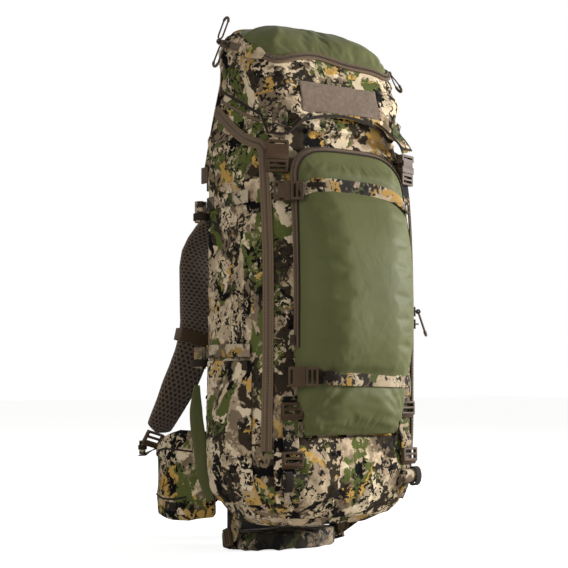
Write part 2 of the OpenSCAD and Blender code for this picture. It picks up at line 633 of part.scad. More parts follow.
// Straps from the bag's lower sides, down to a lock on each side of the base shelf.
bottom_strap_points = [bag_point(178, seam_low + 16, gap), bag_point(174, seam_low + 4, gap + 1),
    [-shelf_x - 16, 44, 40], [-shelf_x - 6, 64, 26], [-shelf_x - 2, 84, 19], [-shelf_x - gap, 104, 16]];
bottom_strap_path = smooth_path(bottom_strap_points, 3);
bottom_lock_i = 11;
function bottom_strap_out(i) = unit([-1, 0, -0.8 * max(1 - i / 9, 0)]);
module bottom_straps() {
    color(CAMO) both_sides()
        band(bottom_strap_path, [for (i = [0 : len(bottom_strap_path) - 1]) bottom_strap_out(i)], web_narrow, 0, web_t);
}

side_strap_z = [bag_rim_z - 145, 305];
module side_straps() {
    color(CAMO) both_sides() for (z = side_strap_z) {
        angles = [for (a = [206 : -7 : 136]) a];
        band([for (a = angles) bag_point(a, z + 10)], [for (a = angles) bag_out_at(a, z + 10)], web_narrow, gap + 0.6,
            gap + 0.6 + web_t);
    }
}
function side_roll_at(z) = [-bag_w / 2 + 9, bag_back + 12, z];

module ladder_locks() {
    color(BUCKLE) both_sides() {
        for (l = lock_levels) place(on_lower_strap(l), [0, 0, -1], lower_strap_dir) ladder_lock(web_wide);
        place(bottom_strap_path[bottom_lock_i], along(bottom_strap_path, bottom_lock_i), bottom_strap_out(bottom_lock_i))
            translate([0, 0, gap]) ladder_lock(web_narrow);
    }
}
module webbing_rolls() {
    color(CAMO) both_sides() {
        place(on_lower_strap(122), [0, 0, -1], lower_strap_dir) webbing_roll(web_wide);
        for (z = side_strap_z) translate(side_roll_at(z)) rotate([0, 0, 25]) translate([0, 0, -web_narrow / 2 - 4])
            cylinder(r = roll_r + 2, h = web_narrow + 8);
    }
}

// ---------------------------------------------------------------- lid

// Same columns as the bag's sections. The first is the hem, the fourth is the zip line.
lid_hw = lid_w / 2;
lid_front = 86;
lid_back = 88;
lid_hem_z = bag_rim_z + lid_rise;
lid_top_z = lid_hem_z + lid_h;
lid_zip_z = lid_top_z - 50;
lid_sections = [
    [lid_hem_z, 0.5, lid_hw - 4, lid_front, lid_back - 2, 4, 7],
    [lid_hem_z + 24, 0.47, lid_hw, lid_front - 2, lid_back, 4.5, 7],
    [lid_hem_z + 54, 0.42, lid_hw, lid_front - 12, lid_back, 4.5, 6],
    [lid_zip_z, 0.34, lid_hw - 3, lid_front - 26, lid_back - 3, 4.5, 6],
    [lid_top_z - 26, 0.22, lid_hw - 14, lid_front - 42, lid_back - 12, 4, 5],
    [lid_top_z - 10, 0.12, lid_hw - 38, lid_front - 64, lid_back - 30, 3.4, 4],
    [lid_top_z - 3, 0.05, lid_hw - 80, lid_front - 92, lid_back - 54, 3, 3]];
lid_wall = wall + 0.5;
function lid_point(angle, level, d = 0) =
    section_point(lid_sections, angle, level) + (d == 0 ? [0, 0, 0] : d * section_out(lid_sections, angle, level));
function lid_ring(level, d = 0) = [for (i = [0 : 39]) lid_point(-9 * i, level, d)];
// The lid is a hollow pocket: walls and a floor below the zip, and a domed cover above it.
module lid_body() {
    levels = [lid_hem_z, lid_hem_z + 12, lid_hem_z + 24, lid_hem_z + 54, lid_zip_z];
    inner = [lid_zip_z, lid_hem_z + 54, lid_hem_z + 24, lid_hem_z + lid_wall];
    color(CAMO) skin(concat([for (l = levels) lid_ring(l)], [for (l = inner) lid_ring(l, -lid_wall)]));
}
module lid_top_panel() {
    levels = [lid_zip_z + gap, lid_zip_z + 12, lid_top_z - 26, lid_top_z - 16, lid_top_z - 10, lid_top_z - 3];
    inner = [lid_top_z - 14, lid_top_z - 22, lid_zip_z + 12, lid_zip_z + gap];
    color(GREEN) skin(concat([for (l = inner) lid_ring(l, -lid_wall)], [for (l = levels) lid_ring(l)]));
}
lid_tape_w = 13;
lid_zip_angles = [for (i = [0 : 36]) 139 + 262 * i / 36];
module lid_zip() {
    path = [for (a = lid_zip_angles) lid_point(a, lid_zip_z)];
    outs = [for (a = lid_zip_angles) section_out(lid_sections, a, lid_zip_z - 3)];
    color(TAPE) zip_tape(path, outs, lid_tape_w, zip_lift + 0.6);
}
patch_level = lid_hem_z + 40;
module lid_patch() {
    cols = 12;
    function angle(x, l) = let (u = x / curve(lid_sections, l, 2), n = curve(lid_sections, l, 5))
        atan2(-pow(1 - pow(abs(u), n), 1 / n), u);
    function row(s, d) = let (l = patch_level + s * patch_h / 2) [for (c = [0 : cols])
        lid_point(angle(-patch_l / 2 + patch_l * c / cols, l), l, d)];
    color(TAPE) shell([for (s = [-1, -0.33, 0.33, 1]) row(s, gap + 2.4)], [for (s = [-1, -0.33, 0.33, 1]) row(s, gap + 0.4)]);
}

// Front buckles hang level with the hinge line, so that their sockets lift off the plugs
// straight up. The plug is on the bag, the socket on the lid's strap.
hinge_z = bag_rim_z - hinge_drop;
lid_buckle_x = bag_w / 2 - lid_buckle_inset;
lid_mouth_z = hinge_z - 6;
lid_buckle_y = front_y(lid_buckle_x, hinge_z) - 6.5;
lid_buckle_out = unit([-0.35, -1, 0]);
module at_lid_buckle() {
    place([-lid_buckle_x, lid_buckle_y, lid_mouth_z], [0, 0, -1], lid_buckle_out) children();
}
module lid_buckle_sockets() { color(BUCKLE) both_sides() at_lid_buckle() socket(web_wide); }
module lid_buckle_plugs() { color(BUCKLE) both_sides() at_lid_buckle() plug(web_wide); }
module lid_front_straps() {
    start = [-lid_buckle_x, lid_buckle_y, lid_mouth_z + socket_l(web_wide) + 4] + lid_buckle_out * (socket_t / 2);
    foot = lid_point(225, lid_hem_z + 8, 3);
    top = lid_point(225, lid_hem_z + 22, 3);
    path = smooth_path([start, (start * 2 + foot) / 3 + lid_buckle_out * 2, foot, top], 3);
    color(CAMO) both_sides() band(path, [for (p = path) lid_buckle_out], web_wide, 0, web_t);
}

// Rear: each strap ends in an eye that turns on a bar in a bracket on the frame's edge.
hinge_bar_r = 2.5;
hinge_x = bag_w / 2 - 27;
eye_w = 20;
bracket_y = stay_y + 1;
module lid_hinge_bars() {
    cheek = 3;
    low_x = stay_x + stay_w / 2 + 2;
    color(BUCKLE) both_sides() {
        translate([hinge_x - eye_w / 2 - cheek - 1, hinge_y, hinge_z]) rotate([0, 90, 0])
            cylinder(r = hinge_bar_r, h = eye_w + 2 * cheek + 2);
        for (x = [hinge_x - eye_w / 2 - cheek - 1, hinge_x + eye_w / 2 + 1])
            translate([x, bracket_y, hinge_z - 22]) cube([cheek, hinge_y - bracket_y + 5, 26]);
        translate([low_x, bracket_y, hinge_z - 36]) cube([hinge_x + eye_w / 2 + cheek + 1 - low_x, 3, 20]);
    }
}
module lid_rear_straps() {
    eye_r = hinge_bar_r + web_t;
    foot = lid_point(48, lid_hem_z + 12, 2.4);
    top = lid_point(48, lid_hem_z + 44, 2.4);
    start = [hinge_x, hinge_y, hinge_z + eye_r - 0.6];
    path = smooth_path([start, (start * 2 + foot) / 3 + [0, 1, 0], (start + 2 * foot) / 3 + [0, 1, 0], foot, top], 2);
    color(CAMO) both_sides() {
        translate([hinge_x - eye_w / 2, hinge_y, hinge_z]) rotate([0, 90, 0]) difference() {
            cylinder(r = eye_r, h = eye_w);
            translate([0, 0, -1]) cylinder(r = hinge_bar_r + turn_gap, h = eye_w + 2);
        }
        band(path, [for (i = [0 : len(path) - 1]) unit([0.75 * i / (len(path) - 1), 1, 0])], eye_w, 0, web_t);
    }
}

// ---------------------------------------------------------------- haul loop

haul_drop = 36;
haul_bend = 14;
// A loop of rolled webbing: two eyes on the haul bar, two legs and a rounded grip.
module haul_loop() {
    y = yoke_bar_y;
    leg = haul_drop - haul_bend;
    color(CAMO) {
        for (s = [-1, 1]) {
            translate([s * haul_x - haul_r, y, haul_z]) rotate([0, 90, 0]) difference() {
                cylinder(r = haul_bar_r + 2.5, h = 2 * haul_r);
                translate([0, 0, -1]) cylinder(r = haul_bar_r + turn_gap, h = 2 * haul_r + 2);
            }
            translate([s * haul_x, y, haul_z - leg]) cylinder(r = haul_r, h = leg - haul_bar_r - 1);
            translate([s * (haul_x - haul_bend), y, haul_z - leg]) rotate([90, 0, 0]) rotate([0, 0, s > 0 ? -90 : 180])
                rotate_extrude(angle = 90) translate([haul_bend, 0]) circle(haul_r);
        }
        translate([-haul_x + haul_bend, y, haul_z - haul_drop]) rotate([0, 90, 0]) cylinder(r = haul_r, h = 2 * (haul_x - haul_bend));
    }
}

// ---------------------------------------------------------------- harness

yoke_t = 6;
yoke_hx = 34;
yoke_low = yoke_z - 80;
module harness_yoke() {
    y0 = yoke_bar_y - yoke_t / 2;
    eye_r = yoke_bar_r + 4;
    color(MESH) difference() {
        union() {
            translate([0, y0 + yoke_t, 0]) rotate([90, 0, 0]) linear_extrude(yoke_t)
                translate([-yoke_hx, yoke_low]) square([2 * yoke_hx, yoke_z - yoke_low]);
            translate([-yoke_hx, yoke_bar_y, yoke_z]) rotate([0, 90, 0]) cylinder(r = eye_r, h = 2 * yoke_hx);
        }
        translate([-yoke_hx - 1, yoke_bar_y, yoke_z]) rotate([0, 90, 0])
            cylinder(r = yoke_bar_r + turn_gap, h = 2 * yoke_hx + 2);
        translate([-yoke_hx - 1, 0, yoke_low - 1]) cube([2 * yoke_hx + 2, pad_y + pad_t + 2, 9]);
    }
}
// Centre line of the left shoulder pad, from the yoke down to the ladder lock.
pad_start_y = yoke_bar_y + yoke_t / 2 + strap_pad_t / 2 + 3;
// Its heights above its lower end are drawn for a yoke bar 408 mm up, and stretch with the bar's height.
pad_low_z = 184;
function pad_height(h) = pad_low_z + h * (yoke_z - pad_low_z) / 408;
shoulder_points = [[-36, pad_start_y, pad_height(356)], [-54, pad_start_y + 13, pad_height(368)],
    [-76, 160, pad_height(348)], [-92, 197, pad_height(296)], [-100, 187, pad_height(221)],
    [-112, 170, pad_height(154)], [-134, 189, pad_height(74)], [-158, 219, pad_low_z]];
shoulder_path = smooth_path(shoulder_points, 3);
// Ring of points round the pad at point i of its path.
function pad_across(i) = let (t = along(shoulder_path, i)) unit([1, 0, 0] - t[0] * t);
function pad_out(i) = cross(pad_across(i), along(shoulder_path, i));
function pad_ring(i, w, t) = let (p = shoulder_path[i], b = pad_across(i), o = pad_out(i), k = 0.32)
    [for (q = [[-1, 0], [-1 + k / 3, 0.8], [-1 + k, 1], [1 - k, 1], [1 - k / 3, 0.8], [1, 0], [1 - k / 3, -0.8],
        [1 - k, -1], [-1 + k, -1], [-1 + k / 3, -0.8]]) p + b * q[0] * w / 2 + o * q[1] * t / 2];
function pad_width(i) = strap_pad_w * (i < 3 ? 0.72 + 0.09 * i : i > 18 ? 0.98 - 0.1 * (i - 18) : 1);
module shoulder_pad() {
    skin([for (i = [0 : len(shoulder_path) - 1]) pad_ring(i, pad_width(i), strap_pad_t)]);
}
module shoulder_pad_left() { color(MESH) shoulder_pad(); }
module shoulder_pad_right() { color(MESH) mirror([1, 0, 0]) shoulder_pad(); }

pad_last = len(shoulder_path) - 1;
lock_drop = 14;
module shoulder_hardware() {
    band_i = 15;
    color(BUCKLE) both_sides() {
        // band round the pad
        place(shoulder_path[band_i], along(shoulder_path, band_i), pad_out(band_i)) difference() {
            cube([20, strap_pad_w + 2 * gap + 5, strap_pad_t + 2 * gap + 6], center = true);
            cube([22, strap_pad_w + 2 * gap + 2, strap_pad_t + 2 * gap + 3.6], center = true);
        }
        place(shoulder_path[pad_last] + along(shoulder_path, pad_last) * lock_drop, along(shoulder_path, pad_last),
            pad_out(pad_last)) translate([0, 0, -web_t - 4]) ladder_lock(web_wide);
        place(shoulder_path[7] + pad_out(7) * (strap_pad_t / 2 + 0.6), along(shoulder_path, 7), pad_out(7))
            translate([0, 0, -web_t]) ladder_lock(web_wide);
    }
}
// Webbing from the pads' ends, over the hip belt's upper edge and down inside it to the lumbar pad.
tail_points = [[-172, 243, 144], [-158, 244, 150], [-138, 236, 158], [-121, 207, 160], [-114, 176, 138], [-109, 150, 106], [-95, 128, 76]];
module harness_tails() {
    path = smooth_path(tail_points, 3);
    last = len(path) - 1;
    color(CAMO) both_sides() {
        band(path, [for (i = [0 : last]) i < 9 ? [0.2, 0.1, 1] : [0.75, 0.5, 0.45]], web_narrow, 0, web_t);
        translate([-175, 236, 148]) cylinder(r = roll_r - 1, h = 22);
    }
}
// Load lifters run from the pads' tops up to the frame.
module load_lifters() {
    start = shoulder_path[7] + pad_out(7) * (strap_pad_t / 2 + web_t + lock_t + 3) + [0, 0, 12];
    top = stay_top_z - 14;
    path = smooth_path([start, (start + [-66, bar_y + 12, top - 4]) / 2 + [0, 3, 3], [-66, bar_y + 9, top]], 4);
    color(CAMO) both_sides() band(path, [for (p = path) [0, 1, 0.4]], web_narrow, 0, web_t);
}
sternum_i = 11;
sternum_hw = 60;
module sternum_strap() {
    p = shoulder_path[sternum_i];
    y = p[1] + strap_pad_t / 2 + 5;
    z = p[2];
    color(BUCKLE) {
        both_sides() {
            translate([-p[0] - 14, y, z - 11]) cube([22, 5, 22]);
            translate([19, y + 1, z - web_narrow / 2]) cube([-p[0] - 14 - 19, web_t, web_narrow]);
        }
        translate([-20, y - 1, z - web_narrow / 2 - 4]) cube([40, 8, web_narrow + 8]);
    }
}

// ---------------------------------------------------------------- hip belt

belt_axis = [-110, pad_y + 12];
belt_points = [[belt_axis[0], belt_axis[1], 0], [-138, 121, 0], [-160, 138, 0], [-167, 165, 0], [-158, 200, 0], [-134, 231, 0],
    [-100, 254, 0]];
belt_path = smooth_path(belt_points, 2);
// Columns: place along the belt, top, bottom.
belt_edges = [[0, 186, 50], [3, 190, 47], [6, 182, 47], [9, 158, 55], [12, 138, 72]];
module belt_wing() {
    last = len(belt_path) - 1;
    function out(i) = let (t = along(belt_path, i)) [t[1], -t[0], 0];
    function ring(i) = let (p = belt_path[i], o = out(i), hi = curve(belt_edges, i, 1), lo = curve(belt_edges, i, 2), t = belt_t / 2)
        [for (q = [[0.94, lo + 8], [1, (lo + hi) / 2], [0.94, hi - 8], [0.55, hi], [-0.55, hi], [-0.94, hi - 8],
            [-1, (lo + hi) / 2], [-0.94, lo + 8], [-0.55, lo], [0.55, lo]]) [p[0] + o[0] * q[0] * t, p[1] + o[1] * q[0] * t, q[1]]];
    skin([for (i = [0 : last]) ring(i)]);
}
module belt_wing_left() { color(CAMO) belt_wing(); }
module belt_wing_right() { color(CAMO) mirror([1, 0, 0]) belt_wing(); }

belt_mid_z = 105;
tail_out = unit([1, 0.55, 0]);
tail_at = [-92, 258, belt_mid_z];
// Webbing from the wing's tip that turns down to its half of the buckle.
module belt_tail() {
    path = smooth_path([tail_at, tail_at + tail_out * 14 + [0, 0, -1], tail_at + tail_out * 24 + [0, 0, -12],
        tail_at + tail_out * 25 + [0, 0, -30]], 4);
    band(path, [for (i = [0 : len(path) - 1]) cross([-tail_out[1], tail_out[0], 0], along(path, i))], web_belt, -web_t / 2, web_t / 2);
    place(tail_at + tail_out * 25 + [0, 0, -29], [0, 0, -1], tail_out) translate([0, 0, -socket_t / 2]) children();
}
module belt_tail_left() { color(BUCKLE) belt_tail() translate([4, 0, 0]) rotate([0, 0, 180]) plug(web_belt); }
module belt_tail_right() {
    color(BUCKLE) mirror([1, 0, 0]) belt_tail() translate([socket_l(web_belt), 0, 0]) socket(web_belt);
}

// ---------------------------------------------------------------- zip sliders and pulls

slider_l = 15;
slider_w = 9;
slider_t = 2.6;
cord_r = 1.4;
bridge_r = 1;
bridge_h = 4.2;
// Slider on a zip that runs along x, outward +z. Its bridge stands along the zip, or across it.
module slider(across = false) {
    translate([-slider_l / 2, -slider_w / 2, 0]) cube([slider_l, slider_w, slider_t]);
    rotate([0, 0, across ? 90 : 0]) {
        for (s = [-1, 1]) translate([s * 3.4, 0, slider_t - eps]) cylinder(r = bridge_r, h = bridge_h);
        translate([-3.4 - bridge_r, 0, slider_t + bridge_h]) rotate([0, 90, 0]) cylinder(r = bridge_r, h = 6.8 + 2 * bridge_r);
    }
}
pull_l = 36;
pull_w = 13;
// Cord loop that hangs from the bridge: its top bend lies round the bridge bar, loop towards -y.
module pull() {
    r = pull_w / 2;
    rotate([0, 90, 0]) {
        rotate_extrude(angle = 360) translate([cord_r + bridge_r + 0.35, 0]) circle(cord_r);
    }
    translate([0, -cord_r * 2 - bridge_r - 0.2, 0]) {
        translate([0, 1.2, 0]) sphere(r = 1.7);
        for (s = [-1, 1]) translate([s * r, -r, 0]) rotate([90, 0, 0]) cylinder(r = cord_r, h = pull_l - 2 * r);
        translate([0, -r, 0]) rotate_extrude(angle = 180) translate([r, 0]) circle(cord_r);
        translate([0, -pull_l + r, 0]) rotate([0, 0, 180]) rotate_extrude(angle = 180) translate([r, 0]) circle(cord_r * 1.6);
    }
}
slider_lift = zip_lift + tape_t + coil_t + 0.5;
lid_zip_dir = unit([0, 1, 0.34]);
module at_lid_slider(angle) {
    place(lid_point(angle, lid_zip_z, slider_lift + 1), lid_zip_dir, section_out(lid_sections, angle, lid_zip_z - 3)) children();
}
left_slider_angle = 160;
rear_slider_angle = 150;
right_slider_angle = 347;
module lid_slider_left() { color(BUCKLE) at_lid_slider(left_slider_angle) slider(); }
module lid_slider_rear() { color(BUCKLE) at_lid_slider(rear_slider_angle) slider(); }
module lid_slider_right() { color(BUCKLE) at_lid_slider(right_slider_angle) slider(); }
main_slider_z = [380, 360];
main_slider_base = [-zip_start[0], zip_start[1], 0];
module at_main_slider(z) {
    out = bag_out_at(540 - zip_angle, z);
    place(main_slider_base + [0, 0, z] + out * slider_lift, [0, 0, 1], out) children();
}
module main_slider_upper() { color(BUCKLE) at_main_slider(main_slider_z[0]) slider(across = true); }
module main_slider_lower() { color(BUCKLE) at_main_slider(main_slider_z[1]) slider(across = true); }
// A pull on a slider's bridge, turned about the bridge's bar.
module hang(turn, across = false) {
    translate([0, 0, slider_t + bridge_h]) rotate([0, 0, across ? -90 : 0]) rotate([turn, 0, 0]) pull();
}
module lid_pull_left() { color(TAPE) at_lid_slider(left_slider_angle) hang(180); }
module lid_pull_rear() { color(TAPE) at_lid_slider(rear_slider_angle) hang(0); }
module lid_pull_right() { color(TAPE) at_lid_slider(right_slider_angle) hang(0); }
module main_pull_upper() { color(TAPE) at_main_slider(main_slider_z[0]) hang(-18, across = true); }
// Slider at the lower left end of the pocket's zip.
pocket_slider_z = zip_low_z + 14;
module pocket_slider() {
    y = front_y(pocket_hw, pocket_slider_z) - gap - pocket_tape_w / 2;
    color(BUCKLE) place([-pocket_hw - slider_lift + 1, y, pocket_slider_z], [0, 0, 1], [-1, 0, 0]) slider(across = true);
}

// The point of the base shelf's underside that the pack stands over.
stand_y = (shelf_side_y + shelf_back) / 2;
module on_shelf() { translate([0, -stand_y, 0]) children(); }

on_shelf() bag_front_panel();
on_shelf() bag_side_panel_left();
on_shelf() bag_side_panel_right();
on_shelf() bag_back_panel();
on_shelf() bag_base_panel();
on_shelf() bag_rim_hem();
on_shelf() front_pocket();
on_shelf() lower_front_pocket();
on_shelf() side_pocket_left();
on_shelf() side_pocket_right();
on_shelf() side_wings();
on_shelf() main_zips();
on_shelf() pocket_zip();
on_shelf() frame_stays();
on_shelf() frame_crossbars();
on_shelf() frame_bolts();
on_shelf() frame_sheet();
on_shelf() base_shelf();
on_shelf() back_pads();
on_shelf() pocket_slider();
on_shelf() lid_buckle_sockets();
on_shelf() lid_hinge_bars();
on_shelf() front_strap_upper();
on_shelf() front_strap_lower();
on_shelf() strap_sockets();
on_shelf() ladder_locks();
on_shelf() lower_straps();
on_shelf() bottom_straps();
on_shelf() webbing_rolls();
on_shelf() side_straps();
on_shelf() harness_tails();
on_shelf() load_lifters();
on_shelf() haul_loop();
on_shelf() lid_body();
on_shelf() lid_top_panel();
on_shelf() lid_zip();
on_shelf() lid_patch();
on_shelf() lid_front_straps();
on_shelf() lid_buckle_plugs();
on_shelf() lid_rear_straps();
on_shelf() upper_strap_plug();
on_shelf() lower_strap_plug();
on_shelf() harness_yoke();
on_shelf() shoulder_pad_left();
on_shelf() shoulder_pad_right();
on_shelf() shoulder_hardware();
on_shelf() sternum_strap();
on_shelf() belt_wing_left();
on_shelf() belt_wing_right();
on_shelf() belt_tail_left();
on_shelf() belt_tail_right();
on_shelf() lid_slider_left();
on_shelf() lid_slider_rear();
on_shelf() lid_slider_right();
on_shelf() main_slider_upper();
on_shelf() main_slider_lower();
on_shelf() lid_pull_left();
on_shelf() lid_pull_rear();
on_shelf() lid_pull_right();
on_shelf() main_pull_upper();
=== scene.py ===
"""Looks of the hunting backpack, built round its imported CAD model. Metres, in the CAD's frame."""
import json
import math

import bmesh
import bpy
import numpy as np
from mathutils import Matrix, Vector, noise

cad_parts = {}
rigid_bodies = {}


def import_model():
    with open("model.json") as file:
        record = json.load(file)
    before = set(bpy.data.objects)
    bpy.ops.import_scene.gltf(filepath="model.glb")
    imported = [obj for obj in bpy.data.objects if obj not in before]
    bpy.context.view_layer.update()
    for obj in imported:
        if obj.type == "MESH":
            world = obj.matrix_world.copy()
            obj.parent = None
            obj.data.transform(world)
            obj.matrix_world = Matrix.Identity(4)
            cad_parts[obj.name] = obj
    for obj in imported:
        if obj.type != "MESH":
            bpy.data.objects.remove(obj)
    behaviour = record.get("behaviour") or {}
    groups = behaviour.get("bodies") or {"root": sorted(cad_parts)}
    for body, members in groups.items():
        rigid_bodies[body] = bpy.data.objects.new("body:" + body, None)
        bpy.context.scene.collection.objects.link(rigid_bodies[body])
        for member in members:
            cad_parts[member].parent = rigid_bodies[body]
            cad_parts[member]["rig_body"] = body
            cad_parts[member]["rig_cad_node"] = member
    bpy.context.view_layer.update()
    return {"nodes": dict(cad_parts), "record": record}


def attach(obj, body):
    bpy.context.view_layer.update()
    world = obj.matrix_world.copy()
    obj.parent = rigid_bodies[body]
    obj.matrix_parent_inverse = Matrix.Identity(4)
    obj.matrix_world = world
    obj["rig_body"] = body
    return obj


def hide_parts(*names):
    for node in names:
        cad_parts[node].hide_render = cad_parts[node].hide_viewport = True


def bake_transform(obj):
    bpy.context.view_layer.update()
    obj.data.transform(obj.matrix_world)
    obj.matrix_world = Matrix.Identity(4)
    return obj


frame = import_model()
BODY = {n: b for b, ns in frame["record"]["behaviour"]["bodies"].items() for n in ns}
MM = 0.001
# Shapes are worked out about the bag's middle line, which is this far ahead of the part's origin.
MIDDLE = np.array([0, 86.0, 0])

# ---- forms, in millimetres

BAG_W, FRONT, BACK, RIM, FLOOR = 306, 100, 86, 684, 46
SEAM_LOW = FLOOR + 16
ZIP_ANGLE, REAR_ANGLE = 221, 135
# the clearance between two pieces, and the thickness of webbing
GAP, WEB = 0.5, 1.6
# a panel's cloth lies this far inside its form
INSIDE = 0.3
# Level, tilt to the back, half width, front, back, squareness at the front and at the back.
BAG = np.array([
    [FLOOR, 0, BAG_W / 2 - 57, FRONT - 52, BACK - 22, 3, 3],
    [FLOOR + 16, 0, BAG_W / 2 - 28, FRONT - 30, BACK - 9, 3.5, 4],
    [FLOOR + 46, 0, BAG_W / 2 - 10, FRONT - 14, BACK - 2, 4, 6],
    [FLOOR + 90, 0, BAG_W / 2 - 1, FRONT - 6, BACK, 4.5, 10],
    [300, 0, BAG_W / 2, FRONT, BACK, 4.5, 10],
    [450, 0, BAG_W / 2, FRONT, BACK, 4.5, 10],
    [560, 0, BAG_W / 2, FRONT - 8, BACK, 4.5, 10],
    [RIM - 62, 0.12, BAG_W / 2 - 3, FRONT - 18, BACK, 4.5, 10],
    [RIM - 26, 0.32, BAG_W / 2 - 9, FRONT - 25, BACK - 1, 4.5, 9],
    [RIM, 0.45, BAG_W / 2 - 16, FRONT - 31, BACK - 4, 4.5, 7]])
LID_HW, LID_TOP, LID_HEM = 135, 838, 698
LID_ZIP = LID_TOP - 50
# how the lid's hem and its zip tilt up to the back
HEM_TILT, ZIP_TILT = 0.5, 0.34
LID = np.array([
    [LID_HEM, HEM_TILT, LID_HW - 4, 86, 86, 4, 7],
    [LID_HEM + 24, 0.47, LID_HW, 84, 88, 4.5, 7],
    [LID_HEM + 54, 0.42, LID_HW, 74, 88, 4.5, 6],
    [LID_ZIP, ZIP_TILT, LID_HW - 3, 60, 85, 4.5, 6],
    [LID_TOP - 26, 0.22, LID_HW - 14, 44, 76, 4, 5],
    [LID_TOP - 10, 0.12, LID_HW - 38, 22, 58, 3.4, 4],
    [LID_TOP - 3, 0.05, LID_HW - 80, -6, 34, 3, 3]])
POCKET_HW, POCKET_LOW, POCKET_TOP, POCKET_BULGE, POCKET_CORNER = 106, 186, 626, 57, 50
# Height, share of the bulge, half width.
POCKET = np.array([
    [POCKET_LOW, 0.2, POCKET_HW - 20], [POCKET_LOW + 24, 0.45, POCKET_HW - 16],
    [272, 0.66, POCKET_HW - 6], [330, 0.93, POCKET_HW], [400, 1, POCKET_HW], [480, 0.86, POCKET_HW],
    [556, 0.5, POCKET_HW], [POCKET_TOP - POCKET_CORNER, 0.42, POCKET_HW], [POCKET_TOP, 0.16, POCKET_HW]])


def unit(v):
    v = np.asarray(v, float)
    return v / np.maximum(np.linalg.norm(v, axis=-1, keepdims=True), 1e-12)


def ramp(x, a, b):
    """A soft step from 0 at a to 1 at b."""
    t = np.clip((x - a) / (b - a), 0, 1)
    return t * t * (3 - 2 * t)


def least(*values):
    return np.minimum.reduce(values)


def curve(rows, x, column):
    """Smooth value of a column at key x, from rows keyed by column 0."""
    x = np.asarray(x, float)
    key, val, last = rows[:, 0], rows[:, column], len(rows) - 1
    a, b = np.maximum(np.arange(last + 1) - 1, 0), np.minimum(np.arange(last + 1) + 1, last)
    slope = (val[b] - val[a]) / (key[b] - key[a])
    i = np.clip(np.searchsorted(key, x, side="right") - 1, 0, last - 1)
    h = key[i + 1] - key[i]
    t = np.clip((x - key[i]) / h, 0, 1)
    return (val[i] * (2 * t**3 - 3 * t**2 + 1) + h * slope[i] * (t**3 - 2 * t**2 + t)
            + val[i + 1] * (3 * t**2 - 2 * t**3) + h * slope[i + 1] * (t**3 - t**2))


def at_place(i, key, rows):
    """Points between those of a list, at places i along its keys."""
    return np.stack([np.interp(i, key, rows[:, k]) for k in range(3)], -1)


def spow(c, p):
    return np.sign(c) * np.abs(c) ** p


def squared(a, n):
    """Radius at angle a of a circle that grows squarer with n."""
    return (np.abs(np.cos(a)) ** n + np.abs(np.sin(a)) ** n) ** (-1 / n)


def section(rows, angle, level, lift=0.0):
    """Points on a bag or lid section at an angle in degrees and a level, lifted off its surface.

    With no lift, the way out of the surface there."""
    def flat(angle, level):
        a = np.radians(angle)
        tilt, half, f, b, n_front, n_back = (curve(rows, level, k) for k in range(1, 7))
        r = squared(a, np.where(np.sin(a) < 0, n_front, n_back))
        y = (b - f) / 2 + (b + f) / 2 * r * np.sin(a)
        return np.stack([half * r * np.cos(a), y, level + tilt * y], -1)
    angle, level = np.broadcast_arrays(np.asarray(angle, float), np.asarray(level, float))
    out = unit(np.cross(flat(angle + 0.5, level) - flat(angle - 0.5, level),
                        flat(angle, level + 0.5) - flat(angle, level - 0.5)))
    return flat(angle, level) + out * np.asarray(lift)[..., None] if lift is not None else out


def front_y(x, z):
    """The bag's front face at a place across it and a level."""
    half, f, b, n = (curve(BAG, z, k) for k in range(2, 6))
    return (b - f) / 2 - (b + f) / 2 * np.maximum(1 - np.abs(x / half) ** n, 0) ** (1 / n)


def side_x(y, z):
    """The bag's side face at a place along it and a height."""
    level = np.asarray(z, float)
    for _ in range(6):
        level = z - curve(BAG, level, 1) * y
    half, f, b, n_front, n_back = (curve(BAG, level, k) for k in range(2, 7))
    s = (y - (b - f) / 2) / ((b + f) / 2)
    n = np.where(s < 0, n_front, n_back)
    return half * np.maximum(1 - np.abs(s) ** n, 0) ** (1 / n)


def pocket_half(z):
    """Half the front pocket's width at a height."""
    w, s = curve(POCKET, z, 2), z - (POCKET_TOP - POCKET_CORNER)
    return np.where(s <= 0, w, w - POCKET_CORNER + np.sqrt(np.maximum(POCKET_CORNER**2 - s * s, 0)))


def pocket_point(angle, z, lift=0.0):
    """Points on the front pocket, at 180 degrees on its left side, 90 in front and 0 on its right."""
    a = np.radians(angle)
    x = pocket_half(z) * spow(np.cos(a), 2 / 3)
    deep = POCKET_BULGE * curve(POCKET, z, 1) * spow(np.sin(a), 2 / 3)
    return np.stack([x + lift * np.cos(a), front_y(x, z) - GAP - 4 - deep - lift * np.sin(a), z + 0 * x], -1)


def smooth_path(p, n):
    """A smooth path through points, in n steps between each two."""
    p = np.asarray(p, float)
    last, made = len(p) - 1, []
    for i in range(last):
        a, b, c, d = p[max(i - 1, 0)], p[i], p[i + 1], p[min(i + 2, last)]
        for t in np.arange(n) / n:
            made.append(0.5 * (2 * b + (c - a) * t + (2 * a - 5 * b + 4 * c - d) * t * t
                               + (3 * b - a - 3 * c + d) * t**3))
    return np.array(made + [p[last]])


def along(path):
    i = np.arange(len(path))
    return unit(path[np.minimum(i + 1, len(path) - 1)] - path[np.maximum(i - 1, 0)])


def lengths(path, axis=0):
    """How far along a path each of its points is."""
    steps = np.cumsum(np.linalg.norm(np.diff(path, axis=axis), axis=-1), axis)
    return np.concatenate([np.zeros_like(steps.take([0], axis)), steps], axis)


def spread(rows, a0, a1, level, n):
    """n + 1 angles from a0 to a1 that are evenly spaced over the cloth at a level."""
    dense = np.linspace(a0, a1, 1500)
    length = lengths(section(rows, dense, level))
    return np.interp(np.linspace(0, length[-1], n + 1), length, dense)


